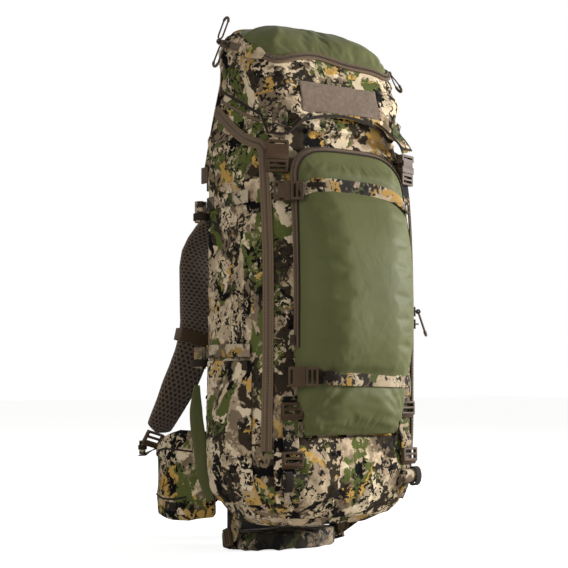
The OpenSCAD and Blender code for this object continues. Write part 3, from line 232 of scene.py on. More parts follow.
def carried(path, outs, step):
    """Points a step apart on a path, and the ways along it, to its side and up from it at each one."""
    path = np.asarray(path, float)
    length = lengths(path)
    at = np.linspace(0, length[-1], max(int(round(length[-1] / step)), 2) + 1)
    line = at_place(at, length, path)
    t = along(line)
    side = unit(np.cross(t, at_place(at, length, np.broadcast_to(np.asarray(outs, float), path.shape))))
    return line, t, side, unit(np.cross(side, t))


# ---- making pieces


def only(piece):
    if bpy.context.mode != "OBJECT":
        bpy.ops.object.mode_set(mode="OBJECT")
    bpy.ops.object.select_all(action="DESELECT")
    piece.select_set(True)
    bpy.context.view_layer.objects.active = piece
    return piece


def edit(piece, *steps):
    """Runs edit mode operators on all of a piece's mesh."""
    only(piece)
    bpy.ops.object.mode_set(mode="EDIT")
    bpy.ops.mesh.select_all(action="SELECT")
    for step in steps:
        step()
    bpy.ops.object.mode_set(mode="OBJECT")
    return piece


def modify(piece, kind, **settings):
    only(piece)
    m = piece.modifiers.new(kind.lower(), kind)
    for k, v in settings.items():
        setattr(m, k, v)
    bpy.ops.object.modifier_apply(modifier=m.name)
    return piece


def merge(piece, mm=0.1):
    """Joins points that lie within a distance, where a laid cloth meets itself."""
    return edit(piece, lambda: bpy.ops.mesh.remove_doubles(threshold=mm * MM))


def face_outward(piece):
    return edit(piece, lambda: bpy.ops.mesh.normals_make_consistent(inside=False))


def thicken(piece, mm, rounds=0):
    """Gives a cloth its thickness, inwards, and rounds its facets."""
    modify(piece, "SOLIDIFY", thickness=mm * MM, offset=-1)
    return modify(piece, "SUBSURF", levels=rounds, render_levels=rounds) if rounds else piece


def bevel(piece, mm, segments=2, angle=50):
    """Rounds a piece's edges that are sharper than an angle."""
    return modify(piece, "BEVEL", width=mm * MM, segments=segments, limit_method="ANGLE",
                  angle_limit=math.radians(angle))


def read(vertices, what):
    values = np.empty(len(vertices) * 3)
    vertices.foreach_get(what, values)
    return values.reshape(-1, 3)


def points(piece):
    return read(piece.data.vertices, "co") / MM + MIDDLE


def normals(piece):
    return read(piece.data.vertices, "normal")


def move(piece, pts):
    piece.data.vertices.foreach_set("co", ((np.asarray(pts) - MIDDLE) * MM).ravel())
    piece.data.update()


def turn_from(piece, centre):
    """Turns a piece's faces over if they look to its centre."""
    if (normals(piece) * (points(piece) - centre)).sum() < 0:
        piece.data.flip_normals()


def cut(name, across, up, at, out=None):
    """A cloth cut as a flat grid and laid on a form: at(u, v) gives points at shares across and up.

    Its points come in rows across it, from its lower edge up.
    Its faces look out, which is a direction or a function that gives one for each point."""
    bpy.ops.object.select_all(action="DESELECT")
    bpy.ops.mesh.primitive_grid_add(x_subdivisions=across, y_subdivisions=up, size=1)
    piece = bpy.context.object
    piece.name = piece.data.name = name
    uv = (points(piece) - MIDDLE) * MM + 0.5
    u, v = uv[:, 0], uv[:, 1]
    pts = at(u, v)
    move(piece, pts)
    # the piece's UV map holds real metres across and up the cloth
    grid = pts.reshape(up + 1, across + 1, 3)
    wide = np.linalg.norm(np.diff(grid, axis=1), axis=2).sum(1).mean() * MM
    high = np.linalg.norm(np.diff(grid, axis=0), axis=2).sum(0).mean() * MM
    layer = piece.data.uv_layers[0].data
    flat = np.empty(len(layer) * 2)
    layer.foreach_get("uv", flat)
    layer.foreach_set("uv", (flat.reshape(-1, 2) * [wide, high]).ravel())
    if out is not None and (normals(piece) * (out(pts) if callable(out) else out)).sum() < 0:
        piece.data.flip_normals()
    return piece


def cube():
    bpy.ops.object.select_all(action="DESELECT")
    bpy.ops.mesh.primitive_cube_add(size=1)
    return bpy.context.object


def copy_of(name, node):
    """A copy of a CAD node, with its loose triangles merged."""
    piece = frame["nodes"][node].copy()
    piece.data = piece.data.copy()
    piece.parent = None
    piece.name = piece.data.name = name
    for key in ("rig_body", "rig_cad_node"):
        if key in piece:
            del piece[key]
    bpy.context.scene.collection.objects.link(piece)
    piece.data.materials.clear()
    return edit(piece, lambda: bpy.ops.mesh.remove_doubles(threshold=0.02 * MM),
                lambda: bpy.ops.mesh.tris_convert_to_quads(face_threshold=0.6, shape_threshold=0.8))


def join(name, pieces):
    bpy.ops.object.select_all(action="DESELECT")
    for p in pieces:
        p.select_set(True)
    bpy.context.view_layer.objects.active = pieces[0]
    if len(pieces) > 1:
        bpy.ops.object.join()
    pieces[0].name = pieces[0].data.name = name
    return pieces[0]


def laid_on(piece, path):
    """A path dropped on a piece's surface, and the way out of the surface at each of its points."""
    hits = [piece.closest_point_on_mesh(Vector((q - MIDDLE) * MM)) for q in path]
    return np.array([h[1] for h in hits]) / MM + MIDDLE, np.array([h[2] for h in hits])


def mirror(piece):
    """Takes a piece over to the other side."""
    move(piece, points(piece) * [-1, 1, 1])
    piece.data.flip_normals()
    return piece


def twin(piece):
    """A mirrored copy of a piece, for the other side."""
    other = piece.copy()
    other.data = piece.data.copy()
    bpy.context.scene.collection.objects.link(other)
    return mirror(other)


def both(name, *pieces):
    """Joins pieces with their twins on the other side."""
    return join(name, [made for piece in pieces for made in (piece, twin(piece))])


def in_order(piece):
    """Sorts a mesh's faces, so that stuffing it gives the same cloth in every run."""
    mesh = piece.data
    uv = mesh.uv_layers[0].data
    faces = []
    for face in mesh.polygons:
        corners = [(mesh.loops[i].vertex_index, uv[i].uv[:]) for i in face.loop_indices]
        first = corners.index(min(corners))
        faces.append(corners[first:] + corners[:first])
    faces.sort()
    spots = [v.co[:] for v in mesh.vertices]
    mesh.clear_geometry()
    mesh.from_pydata(spots, [], [[v for v, _ in face] for face in faces])
    laid = [c for face in faces for _, place in face for c in place]
    mesh.uv_layers.new(name="UVMap").data.foreach_set("uv", laid)


def stuff(piece, held, pressure=3.0, cap=5.0, slack=0.0):
    """Stuffs a cloth with air for a moment, as a cushion: held gives each point's hold, 0 free to 1 pinned.

    No point goes further than the cap, in mm."""
    before = points(piece)
    group = piece.vertex_groups.new(name="held")
    for i, w in enumerate(held):
        if w > 0.01:
            group.add([i], float(min(w, 1)), "REPLACE")
    m = piece.modifiers.new("cloth", "CLOTH")
    s = m.settings
    s.quality, s.mass, s.bending_stiffness = 5, 0.3, 0.4
    s.tension_stiffness = s.compression_stiffness = 15
    s.vertex_group_mass = "held"
    s.use_pressure, s.uniform_pressure_force = True, pressure
    s.shrink_min = -slack
    s.effector_weights.gravity = 0
    m.collision_settings.use_collision = m.collision_settings.use_self_collision = False
    scene = bpy.context.scene
    frames = 20
    m.point_cache.frame_start, m.point_cache.frame_end = 1, frames
    for f in range(1, frames + 1):
        scene.frame_set(f)
    puffed = piece.evaluated_get(bpy.context.evaluated_depsgraph_get())
    step = read(puffed.to_mesh().vertices, "co") / MM + MIDDLE - before
    puffed.to_mesh_clear()
    piece.modifiers.remove(m)
    piece.vertex_groups.clear()
    scene.frame_set(1)
    far = np.linalg.norm(step, axis=1, keepdims=True)
    move(piece, before + step * np.minimum(1, cap / np.maximum(far, 1e-9)))


def dress(piece, *looks):
    piece.data.materials.clear()
    for look in looks:
        piece.data.materials.append(look)


def finish(piece, look, *nodes, body="bag_and_frame", slot=None, padded=None):
    """Smooths a piece, says what it is made of and what it rides, and hides the nodes that it replaces.

    With no look, it keeps the two cloths that it has."""
    only(piece)
    bpy.ops.object.shade_smooth_by_angle(angle=math.radians(40))
    if look:
        dress(piece, look)
    if body:
        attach(piece, body)
    if nodes:
        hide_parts(*nodes)
    return piece


def noise_over(pts, size, shift):
    """Soft noise at points: size is how far apart its bumps are in x, y and z, in mm."""
    return np.array([noise.noise(Vector(q)) for q in np.asarray(pts) / size + shift])


def creases(pts, out, depth, size, seed, sharp, weight=1.0):
    """Moves cloth in or out along soft ridges: size is how long a ridge runs in x, y and z, in mm."""
    f = (1 - np.abs(noise_over(pts, size, np.multiply(seed, (1, -1, 2))))) ** sharp
    return pts + out * (depth * (f - f.mean()) * weight)[:, None]


def swell(pts, out, depth, size, seed, weight=1.0):
    """Uneven stuffing: broad soft bumps."""
    return pts + out * (depth * noise_over(pts, size, np.multiply(seed, (1, 1, -1))) * weight)[:, None]


def gathers(pts, out, centre, depth, reach, folds, seed, weight):
    """Folds that run out from one place in the front's plane, and die away over a reach."""
    dx, dz = pts[:, 0] - centre[0], pts[:, 2] - centre[1]
    far = np.hypot(dx, dz)
    place = np.stack([np.arctan2(dz, dx) * folds, far / 90, 0 * far], -1)
    f = 1 - 2 * np.abs(noise_over(place, 1, (0, seed, seed)))
    return pts + out * (depth * f * ramp(far, 4, 22) * np.exp(-far / reach) * weight)[:, None]


def cord(name, path, radius, across):
    """A round cord along a path that lies flat to the direction across."""
    t = along(path)
    side = unit(np.cross(t, across))
    up = np.cross(side, t)
    n = len(path) - 1
    radius = np.broadcast_to(radius, n + 1)

    def wrap(u, v):
        i, a = np.round(v * n).astype(int), 2 * math.pi * u[:, None]
        return path[i] + radius[i][:, None] * (np.cos(a) * side[i] + np.sin(a) * up[i])
    piece = merge(cut(name, 10, n, wrap), 0.05)
    edit(piece, lambda: bpy.ops.mesh.fill_holes(sides=16))
    return face_outward(piece)


def ribbon(name, path, outs, width, low, high, step=4.0, round_off=0.4):
    """A strap of webbing that lies on a path, from low to high above it. Its widths are spread along it."""
    line, _, side, up = carried(path, outs, step)
    n = len(line) - 1
    widths = np.interp(np.linspace(0, 1, n + 1), np.linspace(0, 1, np.size(width)), np.ravel(width))

    def lay(u, v):
        i = np.round(v * n).astype(int)
        return line[i] + side[i] * ((u - 0.5) * widths[i])[:, None] + up[i] * high
    piece = cut(name, 4, n, lay)
    i = np.argmin(np.abs(points(piece) - (line[n // 2] + up[n // 2] * high)).sum(1))
    if normals(piece)[i] @ up[n // 2] < 0:
        piece.data.flip_normals()
    return bevel(thicken(piece, high - low), round_off)


def teeth(name, path, outs, width, lift, pitch=2.2, height=1.8):
    """A zip's coil: one arched turn of nylon wire, copied along the tape."""
    line, t, side, up = carried(path, outs, pitch)
    tooth = cube()
    tooth.scale = (width * MM, pitch * 0.62 * MM, height * MM)
    bpy.ops.object.transform_apply(location=False, rotation=False, scale=True)
    modify(tooth, "BEVEL", width=0.45 * MM, segments=1, affect="EDGES")
    shape = points(tooth) - MIDDLE
    shape[:, 2] -= (np.abs(shape[:, 0]) / width * 2) ** 2 * height * 0.35
    faces = [list(p.vertices) for p in tooth.data.polygons]
    bpy.data.objects.remove(tooth)
    made, quads = [], []
    for i in range(len(line)):
        made.append(line[i] + side[i] * shape[:, :1] + t[i] * shape[:, 1:2]
                    + up[i] * (shape[:, 2:] + lift + height / 2))
        quads += [[k + i * len(shape) for k in f] for f in faces]
    mesh = bpy.data.meshes.new(name)
    mesh.from_pydata(((np.concatenate(made) - MIDDLE) * MM).tolist(), [], quads)
    piece = bpy.data.objects.new(name, mesh)
    bpy.context.scene.collection.objects.link(piece)
    return face_outward(piece)


def stitches(name, path, outs, lift):
    """A row of lock stitches: thread 0.9 mm thick, in stitches of 3 mm."""
    return teeth(name, path, outs, 0.9, lift, pitch=4.6, height=0.7)


def finger_notches(piece, lengthwise):
    """Opens both front sides of each side release socket, where the plug's arms are pressed."""
    name = piece.name
    edit(piece, lambda: bpy.ops.mesh.separate(type="LOOSE"))
    sockets = list(bpy.context.selected_objects)
    for socket in sockets:
        p = points(socket)
        a, b, out = np.linalg.svd(p - p.mean(0))[2]
        long, across = (a, b) if abs(a @ lengthwise) > abs(b @ lengthwise) else (b, a)
        out = out * np.sign(out @ (-0.3, -1, 0))
        axes = np.array([long, across, out])
        low, high = (p @ axes.T).min(0), (p @ axes.T).max(0)
        for side in (-1, 1):
            cutter = cube()
            at = (low + high) / 2 + [0, side * ((high - low)[1] / 2 + 0.4), (high - low)[2] / 2]
            # a notch 9 mm long, 3.6 mm into the side and 2.8 mm deep
            move(cutter, (at + (points(cutter) - MIDDLE) * MM * (9, 8, 5.6)) @ axes)
            modify(cutter, "BEVEL", width=1.2 * MM, segments=2, affect="EDGES")
            modify(socket, "BOOLEAN", object=cutter, operation="DIFFERENCE")
            bpy.data.objects.remove(cutter)
    return join(name, sockets)


def softened(name, node, width, segments=2, notch=None):
    """A copy of a moulded CAD part with its corners rounded."""
    piece = copy_of(name, node)
    edit(piece, lambda: bpy.ops.mesh.dissolve_limited(angle_limit=math.radians(1.5)))
    if notch is not None:
        piece = finger_notches(piece, notch)
    return bevel(piece, width, segments, 35)


# ---- materials


def paint(code):
    """Linear colour of an sRGB hex value."""
    c = [int(code[i:i + 2], 16) / 255 for i in (1, 3, 5)]
    return tuple(v / 12.92 if v <= 0.04045 else ((v + 0.055) / 1.055) ** 2.4 for v in c) + (1.0,)


def cleared(owner):
    """The emptied node tree of a new material or world."""
    owner.use_nodes = True
    owner.node_tree.nodes.clear()
    return owner.node_tree


def add(tree, kind, sockets=None, **settings):
    """Adds a node with its settings. A socket takes a value, or another node's output to link."""
    node = tree.nodes.new(kind)
    for k, v in settings.items():
        setattr(node, k, v)
    for k, v in (sockets or {}).items():
        if isinstance(v, bpy.types.NodeSocket):
            tree.links.new(v, node.inputs[k])
        else:
            node.inputs[k].default_value = v
    return node


def material(name, slot, colour=None, **shader):
    """A material; its slot is not used. Returns it, its tree and its shader node."""
    m = bpy.data.materials.new(name)
    tree = cleared(m)
    sockets = {k.replace("_", " "): v for k, v in shader.items()}
    if colour:
        sockets["Base Color"] = paint(colour)
    base = add(tree, "ShaderNodeBsdfPrincipled", sockets)
    add(tree, "ShaderNodeOutputMaterial", {"Surface": base.outputs[0]})
    return m, tree, base


def reckon(tree, operation, a, b, kind="ShaderNodeMath"):
    return add(tree, kind, {0: a, 1: b}, operation=operation).outputs[0]


def moved(tree, operation, place, by):
    """A place in a pattern, changed by a vector."""
    return reckon(tree, operation, place, by, "ShaderNodeVectorMath")


def spread_to(tree, value, low, high, to_low=0.0, to_high=1.0):
    return add(tree, "ShaderNodeMapRange", {"Value": value, "From Min": low, "From Max": high,
                                            "To Min": to_low, "To Max": to_high}).outputs[0]


def step_mask(tree, value, edge, soft):
    return spread_to(tree, value, edge - soft, edge + soft)


def mixed(tree, factor, a, b):
    """Two colours mixed: hex values or outputs."""
    a, b = (paint(c) if isinstance(c, str) else c for c in (a, b))
    return add(tree, "ShaderNodeMix", {"Factor": factor, 6: a, 7: b}, data_type="RGBA").outputs[2]


def shaded(tree, colour, value):
    """A colour made lighter or darker by a value round 1."""
    return add(tree, "ShaderNodeHueSaturation", {"Color": colour, "Value": value}).outputs[0]


def noise_at(tree, place, scale, detail, rough=0.5, bend=0.0, offset=(0, 0, 0), stretch=(1, 1, 1)):
    where = add(tree, "ShaderNodeMapping", {"Vector": place, "Location": offset, "Scale": stretch}).outputs[0]
    return add(tree, "ShaderNodeTexNoise", {"Vector": where, "Scale": scale, "Detail": detail,
                                            "Roughness": rough, "Distortion": bend}).outputs[0]


def clouded(tree, place, colour, scale, wear):
    """A colour that is slightly uneven over the piece."""
    return shaded(tree, paint(colour),
                  spread_to(tree, noise_at(tree, place, scale, 4, 0.6), 0.3, 0.7, 1 - wear, 1 + wear))


def bumped(tree, base, *heights):
    """Chains bumps on a shader: (height output, strength, distance in mm)."""
    last = None
    for height, strength, mm in heights:
        sockets = {"Height": height, "Strength": strength, "Distance": mm * MM}
        if last:
            sockets["Normal"] = last
        last = add(tree, "ShaderNodeBump", sockets).outputs[0]
    tree.links.new(last, base.inputs["Normal"])


# A camouflage of the maker's own: rounded leaf, bark and stone patches over pale stone. The patches are
# 20 to 45 mm across, with torn edges of 2 to 4 mm, so that the print reads from across a room.
def camouflage(tree, place):
    """The print's colour at a place on the roll of cloth, in metres."""
    torn = add(tree, "ShaderNodeTexNoise", {"Vector": place, "Scale": 150, "Detail": 2.5}).outputs["Color"]
    pull = moved(tree, "MULTIPLY", moved(tree, "SUBTRACT", torn, (0.5, 0.5, 0.5)), (0.009, 0.009, 0.009))
    print_at = moved(tree, "ADD", place, pull)
    tone = noise_at(tree, print_at, 34, 3, 0.55, 0.4, (3, 1, 2))
    colour = mixed(tree, step_mask(tree, tone, 0.5, 0.07), "#cbb596", "#a59077")
    for edge, scale, detail, rough, bend, offset, tall, code in (
            (0.53, 19, 2.0, 0.5, 0.4, (7, 3, 1), 0.9, "#7b6a55"),
            (0.545, 20, 2.5, 0.5, 0.7, (1, 9, 5), 0.85, "#362e24"),
            (0.57, 17, 1.5, 0.5, 0.8, (4, 2, 8), 0.9, "#565c30"),
            (0.60, 19, 2.0, 0.5, 0.8, (9, 6, 3), 0.95, "#b9934f"),
            (0.57, 22, 4.0, 0.6, 0.8, (5, 8, 2), 0.85, "#100e0e"),
            (0.595, 24, 2.5, 0.5, 0.6, (2, 5, 9), 1, "#d4c1a2")):
        patch = noise_at(tree, print_at, scale, detail, rough, bend, offset, (1, 1, tall))
        colour = mixed(tree, step_mask(tree, patch, edge, 0.008), colour, code)
    # in some places dark specks of 2 to 5 mm on the print, in others pale ones, as of lichen on bark
    for zone, zone_at, size, edge, code in ((0.505, (6, 6, 6), 140, 0.545, "#24211d"),
                                            (0.52, (8, 1, 4), 120, 0.58, "#b09e80")):
        where = step_mask(tree, noise_at(tree, place, 17, 2, 0.5, 0.3, zone_at), zone, 0.03)
        dots = step_mask(tree, noise_at(tree, place, size, 2, 0.5, 0.6, zone_at), edge, 0.015)
        colour = mixed(tree, reckon(tree, "MULTIPLY", where, dots), colour, code)
    return colour


def cloth_material(name, slot, colour=None, fuzz=0.25, roughness=0.85, drape=0.35, sheen=0.1, gloss=0.2,
                   value=1.0, shift=(0, 0, 0)):
    """Woven cloth in one colour, or printed where it has none.

    value darkens the print, and shift takes it from elsewhere on the roll, in metres."""
    m, tree, base = material(name, slot, Roughness=roughness, Sheen_Weight=sheen, Sheen_Roughness=0.5,
                             Specular_IOR_Level=gloss)
    place = add(tree, "ShaderNodeTexCoord").outputs["Object"]
    if colour:
        tone = clouded(tree, place, colour, 9, 0.1)
    else:
        place = moved(tree, "ADD", place, shift)
        tone = shaded(tree, camouflage(tree, place), value)
    tree.links.new(tone, base.inputs["Base Color"])
    # 1.4 mm grain stands for a thread of half that, which is too fine to show
    grain = noise_at(tree, place, 700, 2)
    folds = noise_at(tree, place, 28, 3, 0.55, 1.2, (2, 2, 2), (1, 1, 0.6))
    bumped(tree, base, (folds, drape, 6), (grain, fuzz, 0.5))
    return m


# Brushed nylon cloth, printed: quite dull, with soft folds.
CAMO = cloth_material("printed_brushed_nylon_cloth", "camo_cloth", drape=0.4, sheen=0.01, gloss=0.04)
# The same cloth cut elsewhere, so that the print does not run on across the pockets' seams.
CAMO_POCKET = cloth_material("printed_brushed_nylon_pocket_cloth", "camo_cloth", drape=0.4, sheen=0.01,
                             gloss=0.04, shift=(0.2, 0.6, 0.35))
# The same print on heavy coated cloth under the base, darkened to 0.42 as painted shade under the bag.
BASE_CAMO_IN_PAINTED_SHADE = cloth_material("printed_coated_base_cloth", "camo_cloth", roughness=0.7, drape=0.4, sheen=0.03,
                           gloss=0.15, value=0.42)
# Coated stretch nylon: smooth, with a low sheen over broad folds.
GREEN = cloth_material("green_coated_nylon_cloth", "green_cloth", "#5a5c39", fuzz=0.1, roughness=0.55,
                       drape=0.16, sheen=0.01, gloss=0.1)
# Plain weave pack cloth in near black.
DARK = cloth_material("dark_nylon_pack_cloth", "dark_cloth", "#2a2620", fuzz=0.3, roughness=0.8)
# Coated taffeta inside the bag.
LINING = cloth_material("grey_nylon_taffeta_lining", "dark_cloth", "#55524a", fuzz=0.08, roughness=0.6)


def webbing_material(name, slot, colour=None):
    """Woven nylon webbing: dull, with ribs across it, and printed where it has no colour."""
    m, tree, base = material(name, slot, colour, Roughness=0.8, Sheen_Weight=0.03, Specular_IOR_Level=0.12)
    place = add(tree, "ShaderNodeTexCoord").outputs
    if not colour:
        print_at = moved(tree, "ADD", place["Object"], (0.31, 0.17, 0.43))
        # the print is darkened to 0.72 as painted shade, which sets the straps apart from the cloth under
        # them
        tree.links.new(shaded(tree, camouflage(tree, print_at), 0.72), base.inputs["Base Color"])
    # ribs every 1.6 mm, twice the real pitch so that they show
    ribs = add(tree, "ShaderNodeTexWave", {"Vector": place["UV"], "Scale": 2 * math.pi / 0.0016 / 20},
               bands_direction="Y").outputs[1]
    bumped(tree, base, (ribs, 0.5, 0.4), (noise_at(tree, place["UV"], 900, 2), 0.2, 0.3))
    return m


# Straps of printed webbing, with woven ribs, their print darkened as painted shade.
STRAP = webbing_material("printed_nylon_webbing", "camo_webbing")
# Woven tape of the zips, a plain dull taupe.
TAPE = webbing_material("taupe_nylon_zip_tape", "zip_tape", "#715e4a")
# Folded binding and piping along the seams, nearly black; made this dark partly as painted shadow along the
# lid's hem and corners.
DARK_BINDING_AND_SHADOW = webbing_material("dark_nylon_binding_and_painted_shadow", "dark_cloth", "#28211a")


def mesh_material():
    """Spacer mesh: a knitted face with a hexagonal grid of long holes, near black inside as painted shade in
    their depth.
    """
    m, tree, base = material("brown_spacer_mesh", "spacer_mesh", Roughness=0.85, Sheen_Weight=0.2)
    uv = add(tree, "ShaderNodeTexCoord").outputs["UV"]
    # rows of holes 6.2 mm apart across the pad and 11 mm along it
    cell = moved(tree, "MULTIPLY", uv, (1 / 0.0062, 1 / 0.0064, 1))
    tall = math.sqrt(3)
    near = []
    for shift in ((10, 10 * tall, 0), (10.5, 10.5 * tall, 0)):
        wrapped = moved(tree, "MODULO", moved(tree, "ADD", cell, shift), (1, tall, 1))
        off = moved(tree, "SUBTRACT", wrapped, (0.5, tall / 2, 0))
        near.append(add(tree, "ShaderNodeVectorMath", {0: off}, operation="LENGTH").outputs["Value"])
    rim = spread_to(tree, reckon(tree, "MINIMUM", *near), 0.3, 0.4)
    # the holes are painted near black: painted shade in their depth
    tree.links.new(mixed(tree, rim, "#0d0a07", "#6a523c"), base.inputs["Base Color"])
    bumped(tree, base, (rim, 0.9, 1.5), (noise_at(tree, uv, 1200, 2), 0.3, 0.3))
    return m


# Knitted spacer mesh of the pads: open hexagons, near black as painted shade in their depth.
MESH = mesh_material()


def plain(name, slot, colour, grain=300, strength=0.15, wear=0.12, cloud=40, **shader):
    """A moulded or metal surface with a fine grain and a slight unevenness of tone."""
    m, tree, base = material(name, slot, **shader)
    place = add(tree, "ShaderNodeTexCoord").outputs["Object"]
    tree.links.new(clouded(tree, place, colour, cloud, wear), base.inputs["Base Color"])
    bumped(tree, base, (noise_at(tree, place, grain, 2), strength, 0.2))
    return m


# Moulded acetal with a fine spark finish: dark taupe with soft highlights.
ACETAL = plain("taupe_moulded_acetal", "buckle_plastic", "#4a3929", Roughness=0.52, Specular_IOR_Level=0.15)
# Anodised aluminium bar: silky dark grey.
ALUMINIUM = plain("grey_anodised_aluminium", "frame_metal", "#6d6e70", grain=500, Metallic=0.9,
                  Roughness=0.38)
# Zinc plated steel: bright, with a fine grain.
STEEL = plain("zinc_plated_steel", "bolt_metal", "#9a9a98", grain=500, Metallic=1.0, Roughness=0.3)
# Extruded polyethylene sheet with a leathery grain.
SHEET = plain("black_polyethylene_sheet", "frame_plastic", "#1d1c1b", grain=900, strength=0.4, Roughness=0.5)
# Painted zinc die casting: smooth, with sharp small highlights.
SLIDER = plain("brown_painted_zinc_casting", "zip_metal", "#41362c", Roughness=0.35, IOR=1.5)
# Nylon coil of the zips, a shade darker than their tape.
COIL = plain("brown_nylon_coil", "zip_tape", "#4b3d30", grain=600, Roughness=0.5)
# Bonded nylon sewing thread: dull dark dashes along the seams.
THREAD = plain("dark_nylon_thread", "zip_tape", "#3b3329", Roughness=0.7)
# Braided nylon cord: dull, with a coarse grain.
CORD = plain("taupe_braided_nylon_cord", "cord_pull", "#4d4033", grain=900, strength=0.6, Roughness=0.8)
# Loop pile of a hook and loop patch: fuzzy, with a mottled nap.
LOOP = plain("taupe_loop_pile", "hook_loop", "#6c5b4b", grain=1100, strength=0.9, wear=0.3, cloud=170,
             Roughness=0.95, Sheen_Weight=0.12)

# ---- the bag

# the cloth of its walls and of its front pockets, in mm
CLOTH = 1.6


def bag_wall(a0, a1, n):
    """Lays a cloth round the bag between two angles, from its lower seam to its rim, in n columns."""
    angles = spread(BAG, a0, a1, 300, n)
    return lambda u, v: section(BAG, np.interp(u * n, np.arange(n + 1), angles),
                                SEAM_LOW + (RIM - SEAM_LOW) * v, -INSIDE)


BAG_COLUMNS, BAG_ROWS = 150, 120
bag_cloth = cut("bag_cloth", BAG_COLUMNS, BAG_ROWS, bag_wall(REAR_ANGLE, 540 - REAR_ANGLE, BAG_COLUMNS),
                lambda p: p * [1, 1, 0])
p, o = points(bag_cloth), normals(bag_cloth)
x, y, z = p.T
free = (ramp(np.abs(x), 118, 140) * ramp(y, -90, -60)
        * ramp(z, 66, 120) * ramp(RIM - z, 4, 30) * ramp(BACK - y, 4, 30))
p = creases(p, o, 7.0, (150, 110, 34), 3.1, 6, free * ramp(z, 300, 420))
p = creases(p, o, 5.0, (60, 60, 110), 8.4, 5, free)
p = swell(p, o, 6.0, (80, 70, 80), 5.0, free)
# the bag is fullest just below its zip
full = free * ramp(y, -62, -20) * np.exp(-((z - 598 - 40 * ramp(y, -40, 60)) / 26) ** 2)
p = p + o * (7.0 * full)[:, None]
# the side compression straps pull the cloth in
SIDE_STRAPS = (539, 305)
for level in SIDE_STRAPS:
    p = p - o * (5.0 * free * np.exp(-((z - level) / 15) ** 2))[:, None]
move(bag_cloth, p)
bag_rows = points(bag_cloth).reshape(BAG_ROWS + 1, BAG_COLUMNS + 1, 3)
thicken(bag_cloth, CLOTH)
finish(bag_cloth, CAMO, "bag_front_panel", "bag_side_panel_left", "bag_side_panel_right")

# a lapped seam down each side panel, a little ahead of its middle, with two rows of stitches
SIDE_SEAM_Y = -6
seam_column = np.abs(bag_rows[BAG_ROWS // 2, :BAG_COLUMNS // 2, 1] - SIDE_SEAM_Y).argmin()
seam_line = bag_rows[8:114, seam_column]
lap = ribbon("side_seam", seam_line, (-1, 0, 0), 9, 0.1, 1.0, step=5, round_off=0.3)
finish(both("side_seam_lap", lap), CAMO)
rows = [stitches("side_seam_row", seam_line + [0, off, 0], (-1, 0, 0), 0.8) for off in (-3.2, 3.2)]
finish(both("side_seam_stitches", *rows), THREAD, slot="camo_cloth")

bag_back = cut("bag_back_cloth", 50, 90, bag_wall(180 - REAR_ANGLE, REAR_ANGLE, 50), (0, 1, 0))
finish(thicken(bag_back, CLOTH), DARK, "bag_back_panel")


def base_form(u, v):
    """The bag's bottom, flat to its corner and then up to the lower seam."""
    flat = FLOOR + 0.5
    corner = 0.6
    up = np.maximum(v - corner, 0) / (1 - corner) * (SEAM_LOW - FLOOR)
    k = np.minimum(v / corner, 1)[:, None]
    return section(BAG, u * 360, flat + up, -INSIDE) * np.concatenate([k, k, np.ones_like(k)], 1)


base_cloth = merge(cut("bag_base_cloth", 96, 20, base_form))
turn_from(base_cloth, [0, 0, 90])
finish(thicken(base_cloth, CLOTH), CAMO, "bag_base_panel")

hem = copy_of("bag_rim_binding", "bag_rim_hem")
modify(hem, "SUBSURF", levels=2, render_levels=2)
finish(hem, TAPE, "bag_rim_hem", slot="dark_cloth")

# ---- front pocket

POCKET_FOOT = POCKET_LOW + 0.5
# Each compression strap over the pocket: its levels at the left, middle and right, and its end angles.
FRONT_STRAPS = {"front_strap_upper": ((553, 564, 532), (156, 22)),
                "front_strap_lower": ((275, 270, 268), (143, 22))}


def strap_z(z, u):
    """A strap's level at a share along it."""
    return z[0] * (1 - u) * (1 - 2 * u) + z[1] * 4 * u * (1 - u) + z[2] * u * (2 * u - 1)


def strap_level(front_strap, angle):
    """A front strap's level where it passes an angle of the pocket."""
    levels, (first, last) = front_strap
    return strap_z(levels, (first - angle) / (first - last))


def under_straps(x, z, reach):
    """How near points of the pocket are to the middle line of a front strap, 1 on it and 0 away from it."""
    angle = np.degrees(np.arccos(np.clip(spow(x / pocket_half(z), 1.5), -1, 1)))
    return np.maximum(*(np.exp(-((z - strap_level(s, angle)) / reach) ** 4) for s in FRONT_STRAPS.values()))


def pocket_form(u, v):
    z = POCKET_FOOT + (POCKET_TOP - 1 - POCKET_FOOT) * (1 - (1 - v) ** 1.15)
    a = 180 - 180 * u
    # evenly spaced round the section
    return pocket_point(a + 24 * np.sin(np.radians(2 * a)), z)


pocket = cut("front_pocket_cloth", 60, 100, pocket_form, (0, -1, 0))
flat, o = points(pocket), normals(pocket)
x, y, z = flat.T
edge = least(ramp(pocket_half(z) - np.abs(x), 4, 28), ramp(z, POCKET_LOW + 2, POCKET_LOW + 24),
             ramp(POCKET_TOP - z, 14, 34))
stuff(pocket, 1 - edge, slack=0.02)
p = points(pocket)
# the two front straps hold the cloth in
tight = under_straps(x, z, 17)
p = p + (flat - p) * tight[:, None]
# the lower compression strap gathers the cloth at both sides
low = ramp(z, POCKET_LOW, POCKET_LOW + 14)
p = gathers(p, o, (-POCKET_HW + 2, 284), 5.5, 46, 9, 0.6, edge * low)
p = gathers(p, o, (-POCKET_HW + 8, 208), 13.0, 52, 6, 3.3, low)
p = gathers(p, o, (POCKET_HW - 8, 204), 10.0, 40, 6, 8.3, low)
p = gathers(p, o, (POCKET_HW - 4, 280), 4.0, 40, 8, 5.1, edge * low)
p = creases(p, o, 2.2, (40, 90, 150), 6.1, 3, ramp(np.abs(x), 55, 95) * edge)
p = swell(p, o, 2.4, (80, 90, 110), 1.7, edge * (1 - tight))
move(pocket, p - o * (1.6 * edge * tight)[:, None])
finish(thicken(pocket, CLOTH, 1), GREEN, "front_pocket", padded=0.9)

